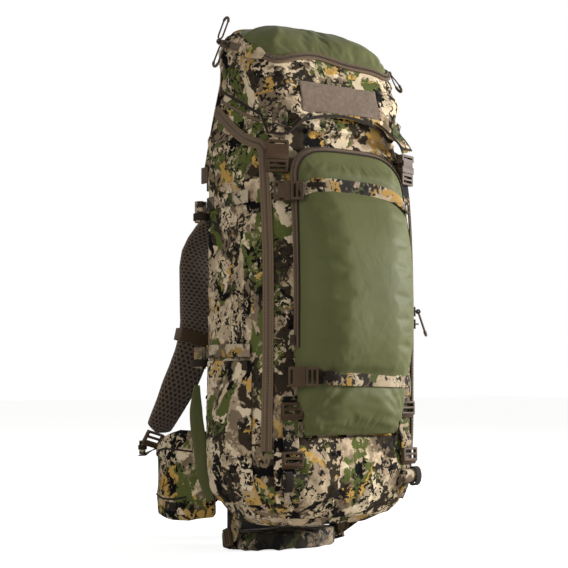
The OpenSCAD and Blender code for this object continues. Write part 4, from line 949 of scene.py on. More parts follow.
LOWER_ANGLE, LOWER_TOP = ZIP_ANGLE + 4, POCKET_LOW - 2
lower_angles = spread(BAG, LOWER_ANGLE, 540 - LOWER_ANGLE, 130, 70)


def lower_out(angle, level):
    """How far the lower pocket stands off the bag."""
    u = (angle - LOWER_ANGLE) / (540 - 2 * LOWER_ANGLE)
    v = (level - SEAM_LOW) / (LOWER_TOP - SEAM_LOW)
    across, up = np.sin(np.pi * u), np.sin(np.radians(20 + 150 * v))
    return GAP + 2.5 + 12 * np.maximum(across, 0) ** 0.5 * np.maximum(up, 0) ** 0.7


def lower_form(u, v):
    a = np.interp(u * 70, np.arange(71), lower_angles)
    level = SEAM_LOW + 3 + (LOWER_TOP - SEAM_LOW - 3) * v
    return section(BAG, a, level, lower_out(a, level))


lower = cut("lower_pocket_cloth", 70, 34, lower_form, (0, -1, 0))
x, y, z = points(lower).T
edge = least(ramp(z, SEAM_LOW + 4, SEAM_LOW + 22), ramp(LOWER_TOP - z, 2, 20), ramp(128 - np.abs(x), 2, 18))
stuff(lower, 1 - edge, slack=0.03)
p, o = points(lower), normals(lower)
p = creases(p, o, 3.0, (40, 60, 26), 4.2, 4, edge)
move(lower, swell(p, o, 3.0, (60, 60, 50), 9.7, edge))
finish(thicken(lower, CLOTH, 1), CAMO_POCKET, "lower_front_pocket", padded=0.8)

# ---- side pockets and wings

SIDE_LOW, SIDE_TOP, SIDE_FRONT, SIDE_BACK = FLOOR + 36, 300, 58, 66


def side_form(u, v):
    y = SIDE_BACK - (SIDE_FRONT + SIDE_BACK) * u
    z = SIDE_LOW + (SIDE_TOP - SIDE_LOW) * v
    across, up = np.sin(np.pi * u), np.sin(np.pi * np.minimum(0.08 + 0.87 * v, 0.95))
    out = GAP + 3 + 11 * np.maximum(across, 0) ** 0.6 * np.maximum(up, 0) ** 0.5
    return np.stack([-side_x(y, z) - out, y, z], -1)


for side, seed in (("left", 1.3), ("right", 7.7)):
    sp = cut(f"side_pocket_cloth_{side}", 28, 48, side_form, (-1, 0, 0))
    x, y, z = points(sp).T
    edge = least(ramp(z, SIDE_LOW + 1, SIDE_LOW + 16), ramp(SIDE_TOP - z, 1, 16),
                 ramp(y + SIDE_FRONT, 1, 14), ramp(SIDE_BACK - y, 1, 14))
    stuff(sp, 1 - edge, slack=0.03)
    p, o = points(sp), normals(sp)
    p = creases(p, o, 4.0, (60, 50, 34), seed, 4, edge)
    move(sp, swell(p, o, 4.0, (60, 50, 60), 3.3, edge))
    if side == "right":
        mirror(sp)
    finish(thicken(sp, 1.5, 1), CAMO_POCKET, f"side_pocket_{side}", padded=0.7)

# a slanting way in at the back of each side pocket, with a dark taped edge under a lip
mouth = smooth_path([(58, 246, 0), (48, 184, 0), (36, 146, 0), (17, 116, 0), (-12, 98, 0), (-40, 94, 0)], 5)
mouth = side_form((SIDE_BACK - mouth[:, 0]) / (SIDE_FRONT + SIDE_BACK),
                  (mouth[:, 1] - SIDE_LOW) / (SIDE_TOP - SIDE_LOW))
path, outs = laid_on(bpy.data.objects["side_pocket_cloth_left"], mouth)
edge_tape = ribbon("side_pocket_mouth", path, outs, (5, 9, 13, 14, 12, 7), 0.2, 1.4)
finish(both("side_pocket_mouth", edge_tape), DARK_BINDING_AND_SHADOW)
lip = ribbon("side_pocket_lip", path + [0, -8, 8], outs, (6, 9, 11, 11, 9, 6), 0.6, 4.6, round_off=1.2)
finish(both("side_pocket_lip", lip), CAMO_POCKET)

wing_path = smooth_path(
    [(-155, 96, 262), (-157, 95, 215), (-150, 95, 165), (-146, 94, 120), (-131, 92, 78)], 6)
wing_out = unit([[0.1 + 0.5 * s, 1, 0] for s in np.linspace(0, 1, len(wing_path))])
wing = ribbon("side_wing_left", wing_path, wing_out, (10, 21, 23, 20, 16, 12), 0, WEB)
finish(both("side_wing_cloth", wing), GREEN, "side_wings")

# ---- zips

LIFT, TAPE_T, COIL_W = GAP + 1.2, 1.2, 3.6


def zip_up(name, node, path, outs, width, lift, body, paired):
    """A zip's tape, its coil and a row of stitches on each side of it, on one side of the pack or on both."""
    top = lift + TAPE_T
    tape = ribbon(name + "_tape", path, outs, width, 0.2, top, step=5, round_off=0.5)
    coil = teeth(name + "_coil", path, outs, COIL_W, top)
    to_row = 0.32 * width * unit(np.cross(along(path), outs))
    rows = [stitches(name + "_row", path + way * to_row, outs, top) for way in (-1, 1)]
    for piece, look, nodes in ((tape, TAPE, [node]), (coil, COIL, [node]),
                               (join(name + "_stitches", rows), THREAD, [])):
        finish(both(piece.name, piece) if paired else piece, look, *nodes, body=body)


# up the front corner, and then slanting back over the side
turn = np.linspace(0, 1, 31)
zip_a = np.concatenate([np.full(60, ZIP_ANGLE), ZIP_ANGLE - 3 + (REAR_ANGLE + 9 - ZIP_ANGLE) * turn])
zip_z = np.concatenate([np.linspace(164, 628, 60), 640 + 34 * turn])
zip_up("main_zip", "main_zips", section(BAG, zip_a, zip_z), section(BAG, zip_a, zip_z, None), 17, LIFT,
       "bag_and_frame", True)

# the front pocket's outline from its left over the top to its right, with the way inwards at each point
straight = POCKET_TOP - POCKET_CORNER
left = [(-POCKET_HW, z, 1, 0) for z in np.linspace(318, straight, 52)]
for a in np.radians(np.linspace(0, 90, 19)[1:]):
    c, s = math.cos(a), math.sin(a)
    left.append((-POCKET_HW + POCKET_CORNER * (1 - c), straight + POCKET_CORNER * s, c, -s))
left += [(x, POCKET_TOP, 0, -1) for x in np.linspace(-50, 0, 11)]
outline = np.array(left + [(-x, z, -dx, dz) for x, z, dx, dz in left[-2::-1]])
POCKET_TAPE = 14
# a point inside the pocket, which the cloth faces away from
POCKET_HEART = np.array([0, -60.0, 450])


def pocket_band(s, w):
    """Points at a share s along the outline and w mm from the bag over the pocket's wall and face."""
    inward = np.concatenate([[0], np.geomspace(0.02, 30, 60)])
    made = []
    for x, z, dx, dz in outline[np.round(s * (len(outline) - 1)).astype(int)]:
        px, pz = x + dx * inward, z + dz * inward
        share = np.maximum(1 - np.abs(px / pocket_half(np.minimum(pz, POCKET_TOP - 0.01))) ** 3, 0) ** (1 / 3)
        deep = POCKET_BULGE * curve(POCKET, pz, 1) * share
        walk = np.stack([px, front_y(px, np.minimum(pz, POCKET_TOP)) - GAP - 4 - deep, pz], -1)
        made.append(np.concatenate([walk[:1] + [0, deep[0], 0], walk]))
    far = lengths(np.array(made), 1)
    return np.array([at_place(d, f, m) for d, f, m in zip(np.broadcast_to(w, len(made)), far, made)])


def pocket_line(w):
    """The outline moved w mm over the pocket, with the way out of the cloth at each point."""
    s = np.linspace(0, 1, len(outline))
    path = pocket_band(s, w)
    outs = unit(np.cross(pocket_band(s, w + 1.5) - pocket_band(s, w - 1.5), along(path)))
    return path, outs * np.sign(((path - POCKET_HEART) * outs).sum())


band = cut("pocket_zip_tape", len(outline) - 1, 10,
           lambda u, v: pocket_band(u, 0.5 + (POCKET_TAPE - 0.5) * v), lambda p: p - POCKET_HEART)
move(band, points(band) + normals(band) * 1.3)
finish(thicken(band, 1.0), TAPE, "pocket_zip")
finish(teeth("pocket_zip_coil", *pocket_line(7.5), COIL_W, 1.3), COIL, "pocket_zip")
finish(stitches("pocket_zip_row_4", *pocket_line(3.5), 1.2), THREAD)
finish(stitches("pocket_zip_row_12", *pocket_line(11.5), 1.2), THREAD)
finish(ribbon("pocket_zip_piping", *pocket_line(POCKET_TAPE), 2.6, 0.2, 2.0, round_off=0.7), DARK_BINDING_AND_SHADOW)

# ---- collar under the lid


def collar_form(u, v):
    """From the bag's rim up inside the lid, then in to a gathered mouth."""
    a = u * 360
    front = ramp(-np.sin(np.radians(a)), 0.2, 0.75)
    foot = section(BAG, a, RIM - 4, -1.0)
    knee = section(LID, a, LID_HEM + 3, -7.0)
    head = section(LID, a, LID_HEM + 17 + 26 * front, -9.0 - 8 * front)
    centre = np.array([0, 0, RIM + 30.0])
    s = v[:, None]
    wall = foot + (knee - foot) * np.clip(s / 0.25, 0, 1) + (head - knee) * np.clip((s - 0.25) / 0.25, 0, 1)
    k = np.clip((s - 0.5) / 0.5, 0, 1)
    return wall * (1 - k) + centre * k


collar = merge(cut("bag_collar_cloth", 140, 30, collar_form))
turn_from(collar, [0, 0, RIM - 60])
p, o = points(collar), normals(collar)
across, deep = p[:, 0] / 130, p[:, 1] / 80
reach = np.hypot(across, deep)
p = creases(p, o, 4.0, (34, 40, 60), 6.6, 3)
# gathers round its mouth, pulled in by a cord
p[:, 2] -= 4.0 * np.cos(np.arctan2(deep, across) * 26) * ramp(1 - reach, 0.1, 0.5) * ramp(reach, 0.02, 0.25)
move(collar, p)
finish(thicken(collar, 1.2), CAMO, padded=0.4)

# ---- lid

lid_angles = spread(LID, -90, 270, LID_ZIP, 150)
# the lower edge's arch over the front: its height and half its width
ARCH, ARCH_HW = 21, 98
# how steeply the seam between the walls and the cover climbs to the back, from this far behind the middle
SEAM_CLIMB, SEAM_START = 0.36, -38


def arch(x):
    return ARCH * np.maximum(1 - (x / ARCH_HW) ** 2, 0)


def lid_hem(angle):
    """Level of the lid's lower edge: it arches over the middle of the front and hangs at its corners."""
    x, down = section(LID, angle, LID_HEM)[..., 0], -np.sin(np.radians(angle))
    return LID_HEM + arch(x) * (down > 0) - 9 * ramp(down, 0.62, 0.74) * ramp(np.abs(x), 72, 104)


def zip_level(angle):
    """Level of the lid's zip: higher over the stuffed front, and lower at the front corners."""
    x, down = section(LID, angle, LID_ZIP)[..., 0], -np.sin(np.radians(angle))
    wave = 7 * np.exp(-((x + 34) / 46) ** 2) - 6 * np.exp(-((np.abs(x) - 108) / 24) ** 2)
    return LID_ZIP + wave * ramp(down, 0.42, 0.75)


def round_lid(x, y):
    """Angle of a point on the lid at its zip."""
    half, f, b = (curve(LID, LID_ZIP, k) for k in (2, 3, 4))
    return np.degrees(np.arctan2((y - (b - f) / 2) / ((b + f) / 2), x / half))


def lid_form(u, v):
    a = np.interp(u * 150, np.arange(151), lid_angles)
    level = np.interp(v, [0, 0.55, 0.83, 1], [LID_HEM, LID_ZIP, LID_TOP - 10, LID_TOP - 3])
    level += (lid_hem(a) - LID_HEM) * np.maximum(1 - v / 0.55, 0)
    level += (zip_level(a) - LID_ZIP) * np.interp(v, [0, 0.55, 0.83], [0, 1, 0])
    return section(LID, a, level, -INSIDE)


lid = merge(cut("lid_cloth", 150, 60, lid_form))
# the dome closes over the last ring
only(lid)
bm = bmesh.new()
bm.from_mesh(lid.data)
ring = [e for e in bm.edges if e.is_boundary and min(v.co.z for v in e.verts) > (LID_TOP - 25) * MM]
made = bmesh.ops.extrude_edge_only(bm, edges=sorted(ring, key=lambda e: e.index))
top = [v for v in made["geom"] if isinstance(v, bmesh.types.BMVert)]
centre = sum((v.co for v in top), Vector()) / len(top)
for v in top:
    v.co = centre + (v.co - centre) * 0.5 + Vector((0, 0, MM))
bmesh.ops.contextual_create(bm, geom=top)
bmesh.ops.triangulate(bm, faces=[f for f in bm.faces if len(f.verts) > 4])
bm.to_mesh(lid.data)
bm.free()
in_order(lid)
turn_from(lid, [0, 0, 760])
x, y, z = points(lid).T
level = z - ZIP_TILT * y
near_zip = np.abs(level - zip_level(round_lid(x, y)))
above_hem = z - HEM_TILT * y - LID_HEM - arch(x) * (y < -40)
# the patch sewn on the front stiffens the cloth
stiff = (ramp(82 - np.abs(x), 0, 14) * ramp(level - LID_HEM, 14, 26)
         * ramp(LID_HEM + 76 - level, 0, 12) * (y < -30))
edge = least(ramp(near_zip, 2, 16), ramp(above_hem, 2, 20)) * (1 - 0.75 * stiff)
stuff(lid, 1 - edge, pressure=2.5, slack=0.02)
p, o = points(lid), normals(lid)
low = edge * (level < LID_ZIP) * (1 - 0.8 * ramp(ARCH_HW - np.abs(x), 0, 20) * (y < -30))
p = creases(p, o, 9.0, (60, 60, 34), 2.7, 5, low)
p = creases(p, o, 4.0, (110, 40, 60), 5.5, 4, edge * (level >= LID_ZIP))
move(lid, swell(p, o, 6.0, (60, 60, 46), 4.4, edge * np.where(level < LID_ZIP, 1, 0.5)))

# the green cover and the printed walls part along the zip and a seam that climbs over each side to the back
dress(lid, CAMO, GREEN)
x, y, z = (np.array([face.center for face in lid.data.polygons]) / MM + MIDDLE).T
seam = zip_level(round_lid(x, y)) + SEAM_CLIMB * np.maximum(y - SEAM_START, 0)
lid.data.polygons.foreach_set("material_index", (z - ZIP_TILT * y > seam).astype(int))
thicken(lid, 1.8, 1)
finish(lid, None, "lid_body", "lid_top_panel", body="lid", slot="camo_cloth", padded=0.8)

# piping along the seam on each side
seam_a = np.linspace(214, 141, 60)
seam_level = zip_level(seam_a)
for _ in range(5):
    behind = section(LID, seam_a, seam_level)[:, 1] - SEAM_START
    seam_level = zip_level(seam_a) + SEAM_CLIMB * np.maximum(behind, 0)
path, outs = laid_on(lid, section(LID, seam_a, seam_level))
piping = ribbon("lid_seam_piping", path, outs, 3.2, -0.4, 1.4, step=3, round_off=0.5)
finish(both("lid_seam_piping", piping), DARK_BINDING_AND_SHADOW, body="lid")

# a near-black binding along the lid's hem: partly real binding, partly painted shadow under the lid's edge
hem_a = spread(LID, -90, 270, LID_HEM, 160)
hem_level = lid_hem(hem_a)
hem_out = section(LID, hem_a, hem_level + 2.5, None)
hem_binding_and_shadow = ribbon("lid_hem_binding_and_shadow", section(LID, hem_a, hem_level + 2.5), hem_out, 5, -2.4, 0.9, step=5,
                 round_off=0.5)
finish(hem_binding_and_shadow, DARK_BINDING_AND_SHADOW, body="lid")
row = stitches("lid_hem_stitches", section(LID, hem_a, hem_level + 9), hem_out, 0.1)
finish(row, THREAD, body="lid", slot="camo_cloth")


def lid_floor(u, v):
    ring = section(LID, u * 360, LID_HEM + 34, -4)
    centre = ring.mean(0)
    return centre + (ring - centre) * (1 - v)[:, None]


under = merge(cut("lid_floor_lining", 90, 12, lid_floor, (0, 0, -1)))
move(under, swell(points(under), normals(under), 5.0, (70, 70, 70), 1.1))
finish(thicken(under, 1.0), LINING, body="lid", padded=0.3)



def zip_line(angle, lower=0):
    """The lid's zip, or a line lower than it, with the way out of the cloth."""
    return section(LID, angle, zip_level(angle) - lower), section(LID, angle, LID_ZIP - 3, None)


zip_up("lid_zip", "lid_zip", *zip_line(np.linspace(139, 401, 120)), 12, LIFT + 0.6, "lid", False)
# on the left a flap of the wall's cloth comes over the zip from its front corner
flap = ribbon("lid_zip_flap", *zip_line(np.linspace(220, 187, 40), 1), (10, 19, 23, 24, 24, 22, 17), 0.2, 5.8,
              step=2, round_off=1.8)
finish(flap, CAMO, body="lid")

# the right pull: its cord goes round the slider's bridge, stands off the cloth to a knot, and hangs in a loop
bridge = np.array([144.6, -5.2, 789.3])
lengthwise, off, down = np.array([0, 0.947, 0.322]), np.array([1.0, 0, 0]), np.array([0, 0.322, -0.947])
hangs = unit([0.55, -0.15, -0.82])
knot = bridge + 16 * off + 3 * down
turn = np.linspace(0, 2 * math.pi, 25)[:, None]
stem = smooth_path([bridge + 2.6 * off, bridge + 9 * off + 0.6 * down, knot], 5)
pieces = [cord("pull_eye", bridge + 2.75 * (np.cos(turn) * off + np.sin(turn) * down), 1.3, lengthwise),
          cord("pull_stem", stem, 1.9, lengthwise)]
turn = np.linspace(0, 5.2 * math.pi, 60)[:, None]
coil_to = unit(np.cross(lengthwise, hangs))
wide = np.cross(hangs, coil_to)
winding = knot + (turn / 3.4 - 2.4) * hangs + 2.1 * (np.cos(turn) * wide + np.sin(turn) * coil_to)
pieces.append(cord("pull_knot", winding, 1.25, hangs))
half = [(0, 0), (2.2, 8), (4.8, 17), (6.2, 26), (5.4, 32), (2.9, 35.6), (0, 36.6)]
loop = smooth_path([knot + w * wide + l * hangs for w, l in half + [(-w, l) for w, l in half[-2::-1]]], 6)
thick = np.where(np.abs(np.arange(len(loop)) - (len(loop) - 1) / 2) < 19, 2.3, 1.2)
pieces.append(cord("pull_loop", loop, thick, coil_to))
finish(join("lid_pull_right_cord", pieces), CORD, "lid_pull_right", body="lid_right_pull")


PATCH_W, PATCH_H, PATCH_LOW = 150, 37, LID_HEM + 26


def patch_form(u, v):
    level = PATCH_LOW + v * PATCH_H
    s = (u - 0.5) * PATCH_W / curve(LID, level, 2)
    n = curve(LID, level, 5)
    return section(LID, np.degrees(np.arctan2(-(1 - np.abs(s) ** n) ** (1 / n), s)), level, GAP + 2.4)


patch = cut("name_patch_bare", 30, 10, patch_form, (0, -1, 0.3))
move(patch, laid_on(lid, points(patch))[0] + [0, -1.6, 0.3])
finish(bevel(thicken(patch, 2), 0.5), LOOP, "lid_patch", body="lid")

# ---- straps


def strap(name, nodes, path, outs, width, low=0.0, high=WEB, paired=True, body="bag_and_frame"):
    """A strap of printed webbing, on both sides of the pack unless it crosses it."""
    s = ribbon(name, path, outs, width, low, high)
    return finish(both(name, s) if paired else s, STRAP, *nodes, body=body)


for name, (levels, ends) in FRONT_STRAPS.items():
    t = np.linspace(0, 1, 60)
    a = ends[0] + (ends[1] - ends[0]) * t
    # tight on the cloth, but clear of it where it meets its buckle
    high = GAP + 0.4 + 2.6 * np.maximum(ramp(t, 0.16, 0.06), ramp(t, 0.9, 0.98))
    outs = np.stack([np.cos(np.radians(a)), -np.sin(np.radians(a)), 0 * a], -1)
    strap(name + "_webbing", [name], pocket_point(a, strap_z(levels, t), high), outs, 20, paired=False)

# the lower straps run down the lower pocket, 31 mm in from the bag's side
LOWER_STRAP = 180 + math.degrees(math.acos((1 - 31 / (BAG_W / 2)) ** (4.5 / 2)))
lower_dir = section(BAG, LOWER_STRAP, 200, None)


def lower_strap_out(l):
    """How far a lower strap stands off the bag, over the lower pocket."""
    return np.maximum(GAP + 3, np.where(l > LOWER_TOP, 0, lower_out(LOWER_STRAP, l) + 2))


ls = np.arange(246, 89, -4.0)
line = section(BAG, LOWER_STRAP, ls, lower_strap_out(ls))
strap("lower_strap_webbing", ["lower_straps"], line, lower_dir, 25, GAP, GAP + WEB)
# from the lower seam under the bag to the base shelf's side
SHELF_X = 100
bottom = smooth_path(
    [section(BAG, 178, SEAM_LOW + 16, GAP), section(BAG, 174, SEAM_LOW + 4, GAP + 1), (-SHELF_X - 16, 44, 40),
     (-SHELF_X - 6, 64, 26), (-SHELF_X - 2, 84, 19), (-SHELF_X - GAP, 104, 16)], 3)
bottom_out = unit([[-1, 0, -0.8 * max(1 - i / 9, 0)] for i in range(len(bottom))])
strap("bottom_strap_webbing", ["bottom_straps"], bottom, bottom_out, 20)
side_straps = []
for z in SIDE_STRAPS:
    a = np.linspace(206, 136, 40)
    line, outs = section(BAG, a, z + 10), section(BAG, a, z + 10, None)
    side_straps.append(ribbon("side_strap", line, outs, 20, GAP + 0.6, GAP + 0.6 + WEB))
finish(both("side_strap_webbing", *side_straps), STRAP, "side_straps")

# the lid's front straps, 25 mm wide, go up from their sockets under its corners
LID_STRAP_X, SOCKET_Z = 125, 603
lid_y = front_y(LID_STRAP_X, SOCKET_Z + 6) - 6.5
lid_out = unit([-0.35, -1, 0])
start = np.array([-LID_STRAP_X, lid_y, SOCKET_Z + 25 * 0.85 + 8 + 4]) + lid_out * 4.5
foot, head = section(LID, 225, LID_HEM + 8, 3), section(LID, 225, LID_HEM + 22, 3)
line = smooth_path([start, (start * 2 + foot) / 3 + lid_out * 2, foot, head], 6)
strap("lid_front_strap_webbing", ["lid_front_straps"], line, lid_out, 25, body="lid")


def corner_tab(u, v):
    """Cloth from a front corner of the lid down over the webbing to its buckle."""
    a, v = 225 + (u - 0.5) * 38, v[:, None]
    low = start + lid_out * 3 + [0, 0, 5] + unit([1, -0.35, 0]) * (u[:, None] - 0.5) * 31
    return section(LID, a, lid_hem(a) + 9, 1.4) * v + low * (1 - v) + lid_out * 3.5 * np.sin(math.pi * v)


tab = bevel(thicken(cut("lid_corner_tab", 24, 20, corner_tab, lid_out), 2), 0.6)
# a near-black strip along each tab's sides and foot: painted shadow that outlines the corner
shadow_line_parts, t = [], np.linspace(0, 1, 16)
for u, v in ((0 * t + 0.01, t), (t, 0 * t + 0.03), (0 * t + 0.99, t)):
    shadow_line_parts.append(ribbon("lid_corner_shadow_line", *laid_on(tab, corner_tab(u, v)), 3.6, -0.6, 1.0, step=3))
finish(both("lid_corner_tab", tab), CAMO, body="lid")
finish(both("lid_corner_shadow_line", *shadow_line_parts), DARK_BINDING_AND_SHADOW, body="lid")
holder = np.array([(-LID_STRAP_X, front_y(LID_STRAP_X, float(z)) - off, z)
                   for z, off in ((599, 5.5), (592, 4), (580, 1.2), (566, 1.0), (552, 1.0))])
strap("lid_plug_webbing", [], holder, lid_out, 24)
finish(softened("lid_rear_strap_webbing", "lid_rear_straps", 0.3, 1), STRAP, "lid_rear_straps", body="lid")

# the harness's lower webbing, from its lock on each pad in behind the hip belt to the frame
tails = smooth_path([(-172, 243, 144), (-158, 244, 150), (-138, 236, 158), (-121, 207, 160), (-114, 176, 138),
                     (-109, 150, 106), (-95, 128, 76)], 3)
tail_out = [[0.2, 0.1, 1] if i < 9 else [0.75, 0.5, 0.45] for i in range(len(tails))]
tail = ribbon("harness_tail", tails, tail_out, 20, 0, WEB)

# ---- rolled webbing ends


def rolled(name, at, axis, start, radius, width, turns=2.6, flat=(1, 1), keeper=0.0):
    """A webbing tail rolled up on itself, and the elastic that keeps it.

    flat stretches the roll along start and across; keeper moves its elastic along it."""
    axis, start = unit(axis), unit(start)
    other = np.cross(axis, start) * flat[1]
    start = start * flat[0]

    def ray(turned):
        return np.cos(turned)[:, None] * start + np.sin(turned)[:, None] * other
    t = np.linspace(0, 1, 56)
    spiral = ray(t * turns * 2 * math.pi)
    r = 1.6 + (radius - WEB / 2 - 1.6) * t
    roll = ribbon(name, np.asarray(at) + r[:, None] * spiral, spiral, width, -WEB / 2, WEB / 2, step=2.2,
                  round_off=0.3)
    outs = ray(np.linspace(0, 2 * math.pi, 41))
    ring = np.asarray(at) + axis * keeper + (radius + 0.3) * outs
    return roll, merge(ribbon(name + "_keeper", ring, outs, width * 0.34, 0, 1.1, step=2.0), 0.3)


rolls, keepers = [], []


def place_roll(*args, **kw):
    for made, kept in zip(rolled(*args, **kw), (rolls, keepers)):
        kept.extend([made, twin(made)])


here = max(lower_strap_out(132.0), lower_strap_out(112.0)) + GAP
place_roll("roll_low", section(BAG, LOWER_STRAP, 122.0, here) + lower_dir * (8 + WEB + 2 * GAP),
           np.cross(lower_dir, [0, 0, 1]), lower_dir, 8, 38, flat=(1.0, 1.7), keeper=11)
for z in SIDE_STRAPS:
    place_roll("roll_side", (-BAG_W / 2 + 6, BACK + 13, z), (0, 0, 1), (0.8, 0.6, 0), 11.5, 34, keeper=-8)
# the front straps' spare webbing lies folded beside each buckle
for front_strap, at in zip(FRONT_STRAPS.values(), (128.0, 121.0)):
    here = pocket_point(at, strap_level(front_strap, at), GAP + 1 + WEB + 4.5)
    out = (math.cos(math.radians(at)), -math.sin(math.radians(at)), 0)
    r, k = rolled("front_fold", here, (0, 0, 1), out, 4.4, 21, turns=2.2, flat=(1.0, 2.9))
    rolls.append(r)
    keepers.append(k)
finish(join("rolled_webbing", rolls), STRAP, "webbing_rolls")
finish(join("elastic_keepers", keepers), DARK_BINDING_AND_SHADOW, slot="camo_webbing")

r, k = rolled("tail_roll", (-175, 236, 159), (0, 0, 1), (1, 0, 0), 6, 22)
webbing = both("harness_tail_webbing", tail, r)
finish(webbing, STRAP, "harness_tails", body=None)
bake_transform(webbing)
finish(both("harness_tail_keepers", k), DARK_BINDING_AND_SHADOW, body="harness", slot="camo_webbing")

# ---- harness

# Behind the bag come the plastic sheet, the stays and the crossbars, each with its gap.
FRAME_BACK = BACK + 1.5 + 2 + GAP + 4 + GAP + 3
PAD_Y, YOKE_Y = FRAME_BACK + 2.5, FRAME_BACK + 4 + 3
START_Y = YOKE_Y + 3 + 7 + 3
shoulder = smooth_path([(-36, START_Y, 540), (-54, START_Y + 13, 552), (-76, 160, 532), (-92, 197, 480),
                        (-100, 187, 405), (-112, 170, 338), (-134, 189, 258), (-158, 219, 184)], 3)
pad_t = along(shoulder)
pad_across = unit(np.array([1.0, 0, 0]) - pad_t[:, :1] * pad_t)
pad_outs = np.cross(pad_across, pad_t)
pad_i = np.arange(len(shoulder))
# 66 mm wide, narrower at the yoke and at its lower end
pad_width = 66 * np.select([pad_i < 3, pad_i > 18], [0.72 + 0.09 * pad_i, 0.98 - 0.1 * (pad_i - 18)], 1.0)


def ring_of(u, half_w, half_t, power):
    """A pad's rounded section, across and through it."""
    a = 2 * math.pi * u
    r = squared(a, power)
    return r * np.cos(a) * half_w, r * np.sin(a) * half_t


def closing(v, length, least_share):
    """How far a pad's ends close to a rounded lip."""
    return np.sqrt(np.clip(np.minimum(v, 1 - v) / length, least_share, 1))[:, None]


def pad_form(u, v):
    i = v * (len(shoulder) - 1)
    w, t = ring_of(u, np.interp(i, pad_i, pad_width) / 2, 6.8, 3.2)
    across, out = unit(at_place(i, pad_i, pad_across)), unit(at_place(i, pad_i, pad_outs))
    return at_place(i, pad_i, shoulder) + (across * w[:, None] + out * t[:, None]) * closing(v, 0.02, 0.04)


def foam(name, across, up, form, hold, pressure, cap):
    """A padded piece, closed all round and gently stuffed."""
    pad = face_outward(merge(cut(name, across, up, form)))
    stuff(pad, np.full(len(points(pad)), hold), pressure, cap)
    return pad


def two_cloths(piece, line, outs, inner, outer, limit, axes=3):
    """Gives a pad its outer cloth on the faces that look out from its line, and its inner cloth elsewhere.

    The nearest place on the line is sought in x, y and z, or with two axes in x and y."""
    dress(piece, inner, outer)
    for face in piece.data.polygons:
        near = np.abs(line - np.array(face.center) / MM - MIDDLE)[:, :axes].sum(1).argmin()
        face.material_index = int(np.dot(np.array(face.normal), outs[near]) > limit)


def finish_pair(pad, name, bodies, node, slot, padded):
    """Finishes a left pad and its twin."""
    for side, body, piece in zip(("left", "right"), bodies, (pad, twin(pad))):
        piece.name = piece.data.name = name.format(side)
        finish(piece, None, node.format(side), body=body, slot=slot, padded=padded)


# mesh towards the wearer, printed cloth outwards
pad = foam("shoulder_pad_left_foam", 48, 110, pad_form, 0.25, 1.5, 2.0)
two_cloths(pad, shoulder, pad_outs, MESH, CAMO, 0.35)
finish_pair(pad, "shoulder_pad_{}_foam", ("harness", "harness"), "shoulder_pad_{}", "spacer_mesh", 0.9)

# the load lifters, from a lock on each pad up to the frame
lift0 = shoulder[7] + pad_outs[7] * (7 + WEB + 6 + 3) + [0, 0, 12]
lifters = smooth_path([lift0, (lift0 + [-66, 106.5, 622]) / 2 + [0, 3, 3], (-66, 103.5, 626)], 4)
lifter = strap("load_lifter_webbing", ["load_lifters"], lifters, (0, 1, 0.4), 20, body=None)
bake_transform(lifter)

# ---- hip belt

belt = smooth_path([(-110, PAD_Y + 12, 0), (-138, 121, 0), (-160, 138, 0), (-167, 165, 0), (-158, 200, 0),
                    (-134, 231, 0), (-100, 254, 0)], 2)
# Place along the belt, upper edge, lower edge.
EDGES = np.array([[0, 186, 50], [3, 190, 47], [6, 182, 47], [9, 158, 55], [12, 138, 72]])
belt_i = np.arange(len(belt))
belt_t = along(belt)
belt_out = np.stack([belt_t[:, 1], -belt_t[:, 0], 0 * belt_t[:, 0]], -1)


def belt_form(u, v):
    i = v * (len(belt) - 1)
    hi, lo = curve(EDGES, i, 1), curve(EDGES, i, 2)
    w, t = ring_of(u, (hi - lo) / 2, 7.7, 4)
    close = closing(v, 0.03, 0.05)
    p = at_place(i, belt_i, belt) + unit(at_place(i, belt_i, belt_out)) * t[:, None] * close
    p[:, 2] = (hi + lo) / 2 + w * (0.9 + 0.1 * close[:, 0])
    return p


wing = foam("belt_wing_left_foam", 64, 60, belt_form, 0.15, 2.0, 3.0)
move(wing, creases(points(wing), normals(wing), 2.5, (50, 50, 40), 2.9, 4))
two_cloths(wing, belt, belt_out, CAMO, MESH, 0.5, axes=2)
finish_pair(wing, "belt_wing_{}_foam", ("belt_left", "belt_right"), "belt_wing_{}", "camo_cloth", 0.8)


def on_belt(i, z):
    """A point on a wing's outer face at a place i along it and a level."""
    return at_place(i, belt_i, belt) - at_place(i, belt_i, belt_out) * 9 + [0, 0, z]


# each wing has a pouch's zip flap across it, a slanting seam, two bindings and a short tab of webbing
for name, places, width, high, look in (
        ("belt_flap", ((2.6, 163), (4.5, 166), (6.5, 165), (8.4, 152)), 11, 2.4, CAMO),
        ("belt_flap_binding", ((2.6, 156), (4.5, 159), (6.5, 158), (8.4, 146)), 3, 2.0, DARK_BINDING_AND_SHADOW),
        ("belt_slant_seam", ((3.0, 150), (4.3, 128), (5.6, 108), (6.6, 92)), 6, 1.2, CAMO),
        ("belt_low_binding", ((3.2, 84), (4.6, 80), (6.2, 80), (7.8, 84)), 3, 1.6, DARK_BINDING_AND_SHADOW),
        ("belt_tab", ((4.2, 68), (4.9, 68), (5.6, 69)), 14, 2.2, STRAP)):
    path, outs = laid_on(wing, smooth_path([on_belt(i, z) for i, z in places], 5))
    piece = ribbon(name, path, outs, width, 0, high, step=3, round_off=0.5)
    for side, made in (("left", piece), ("right", twin(piece))):
        made.name = f"{name}_{side}"
        finish(made, look, body="belt_" + side)

# ---- back pads


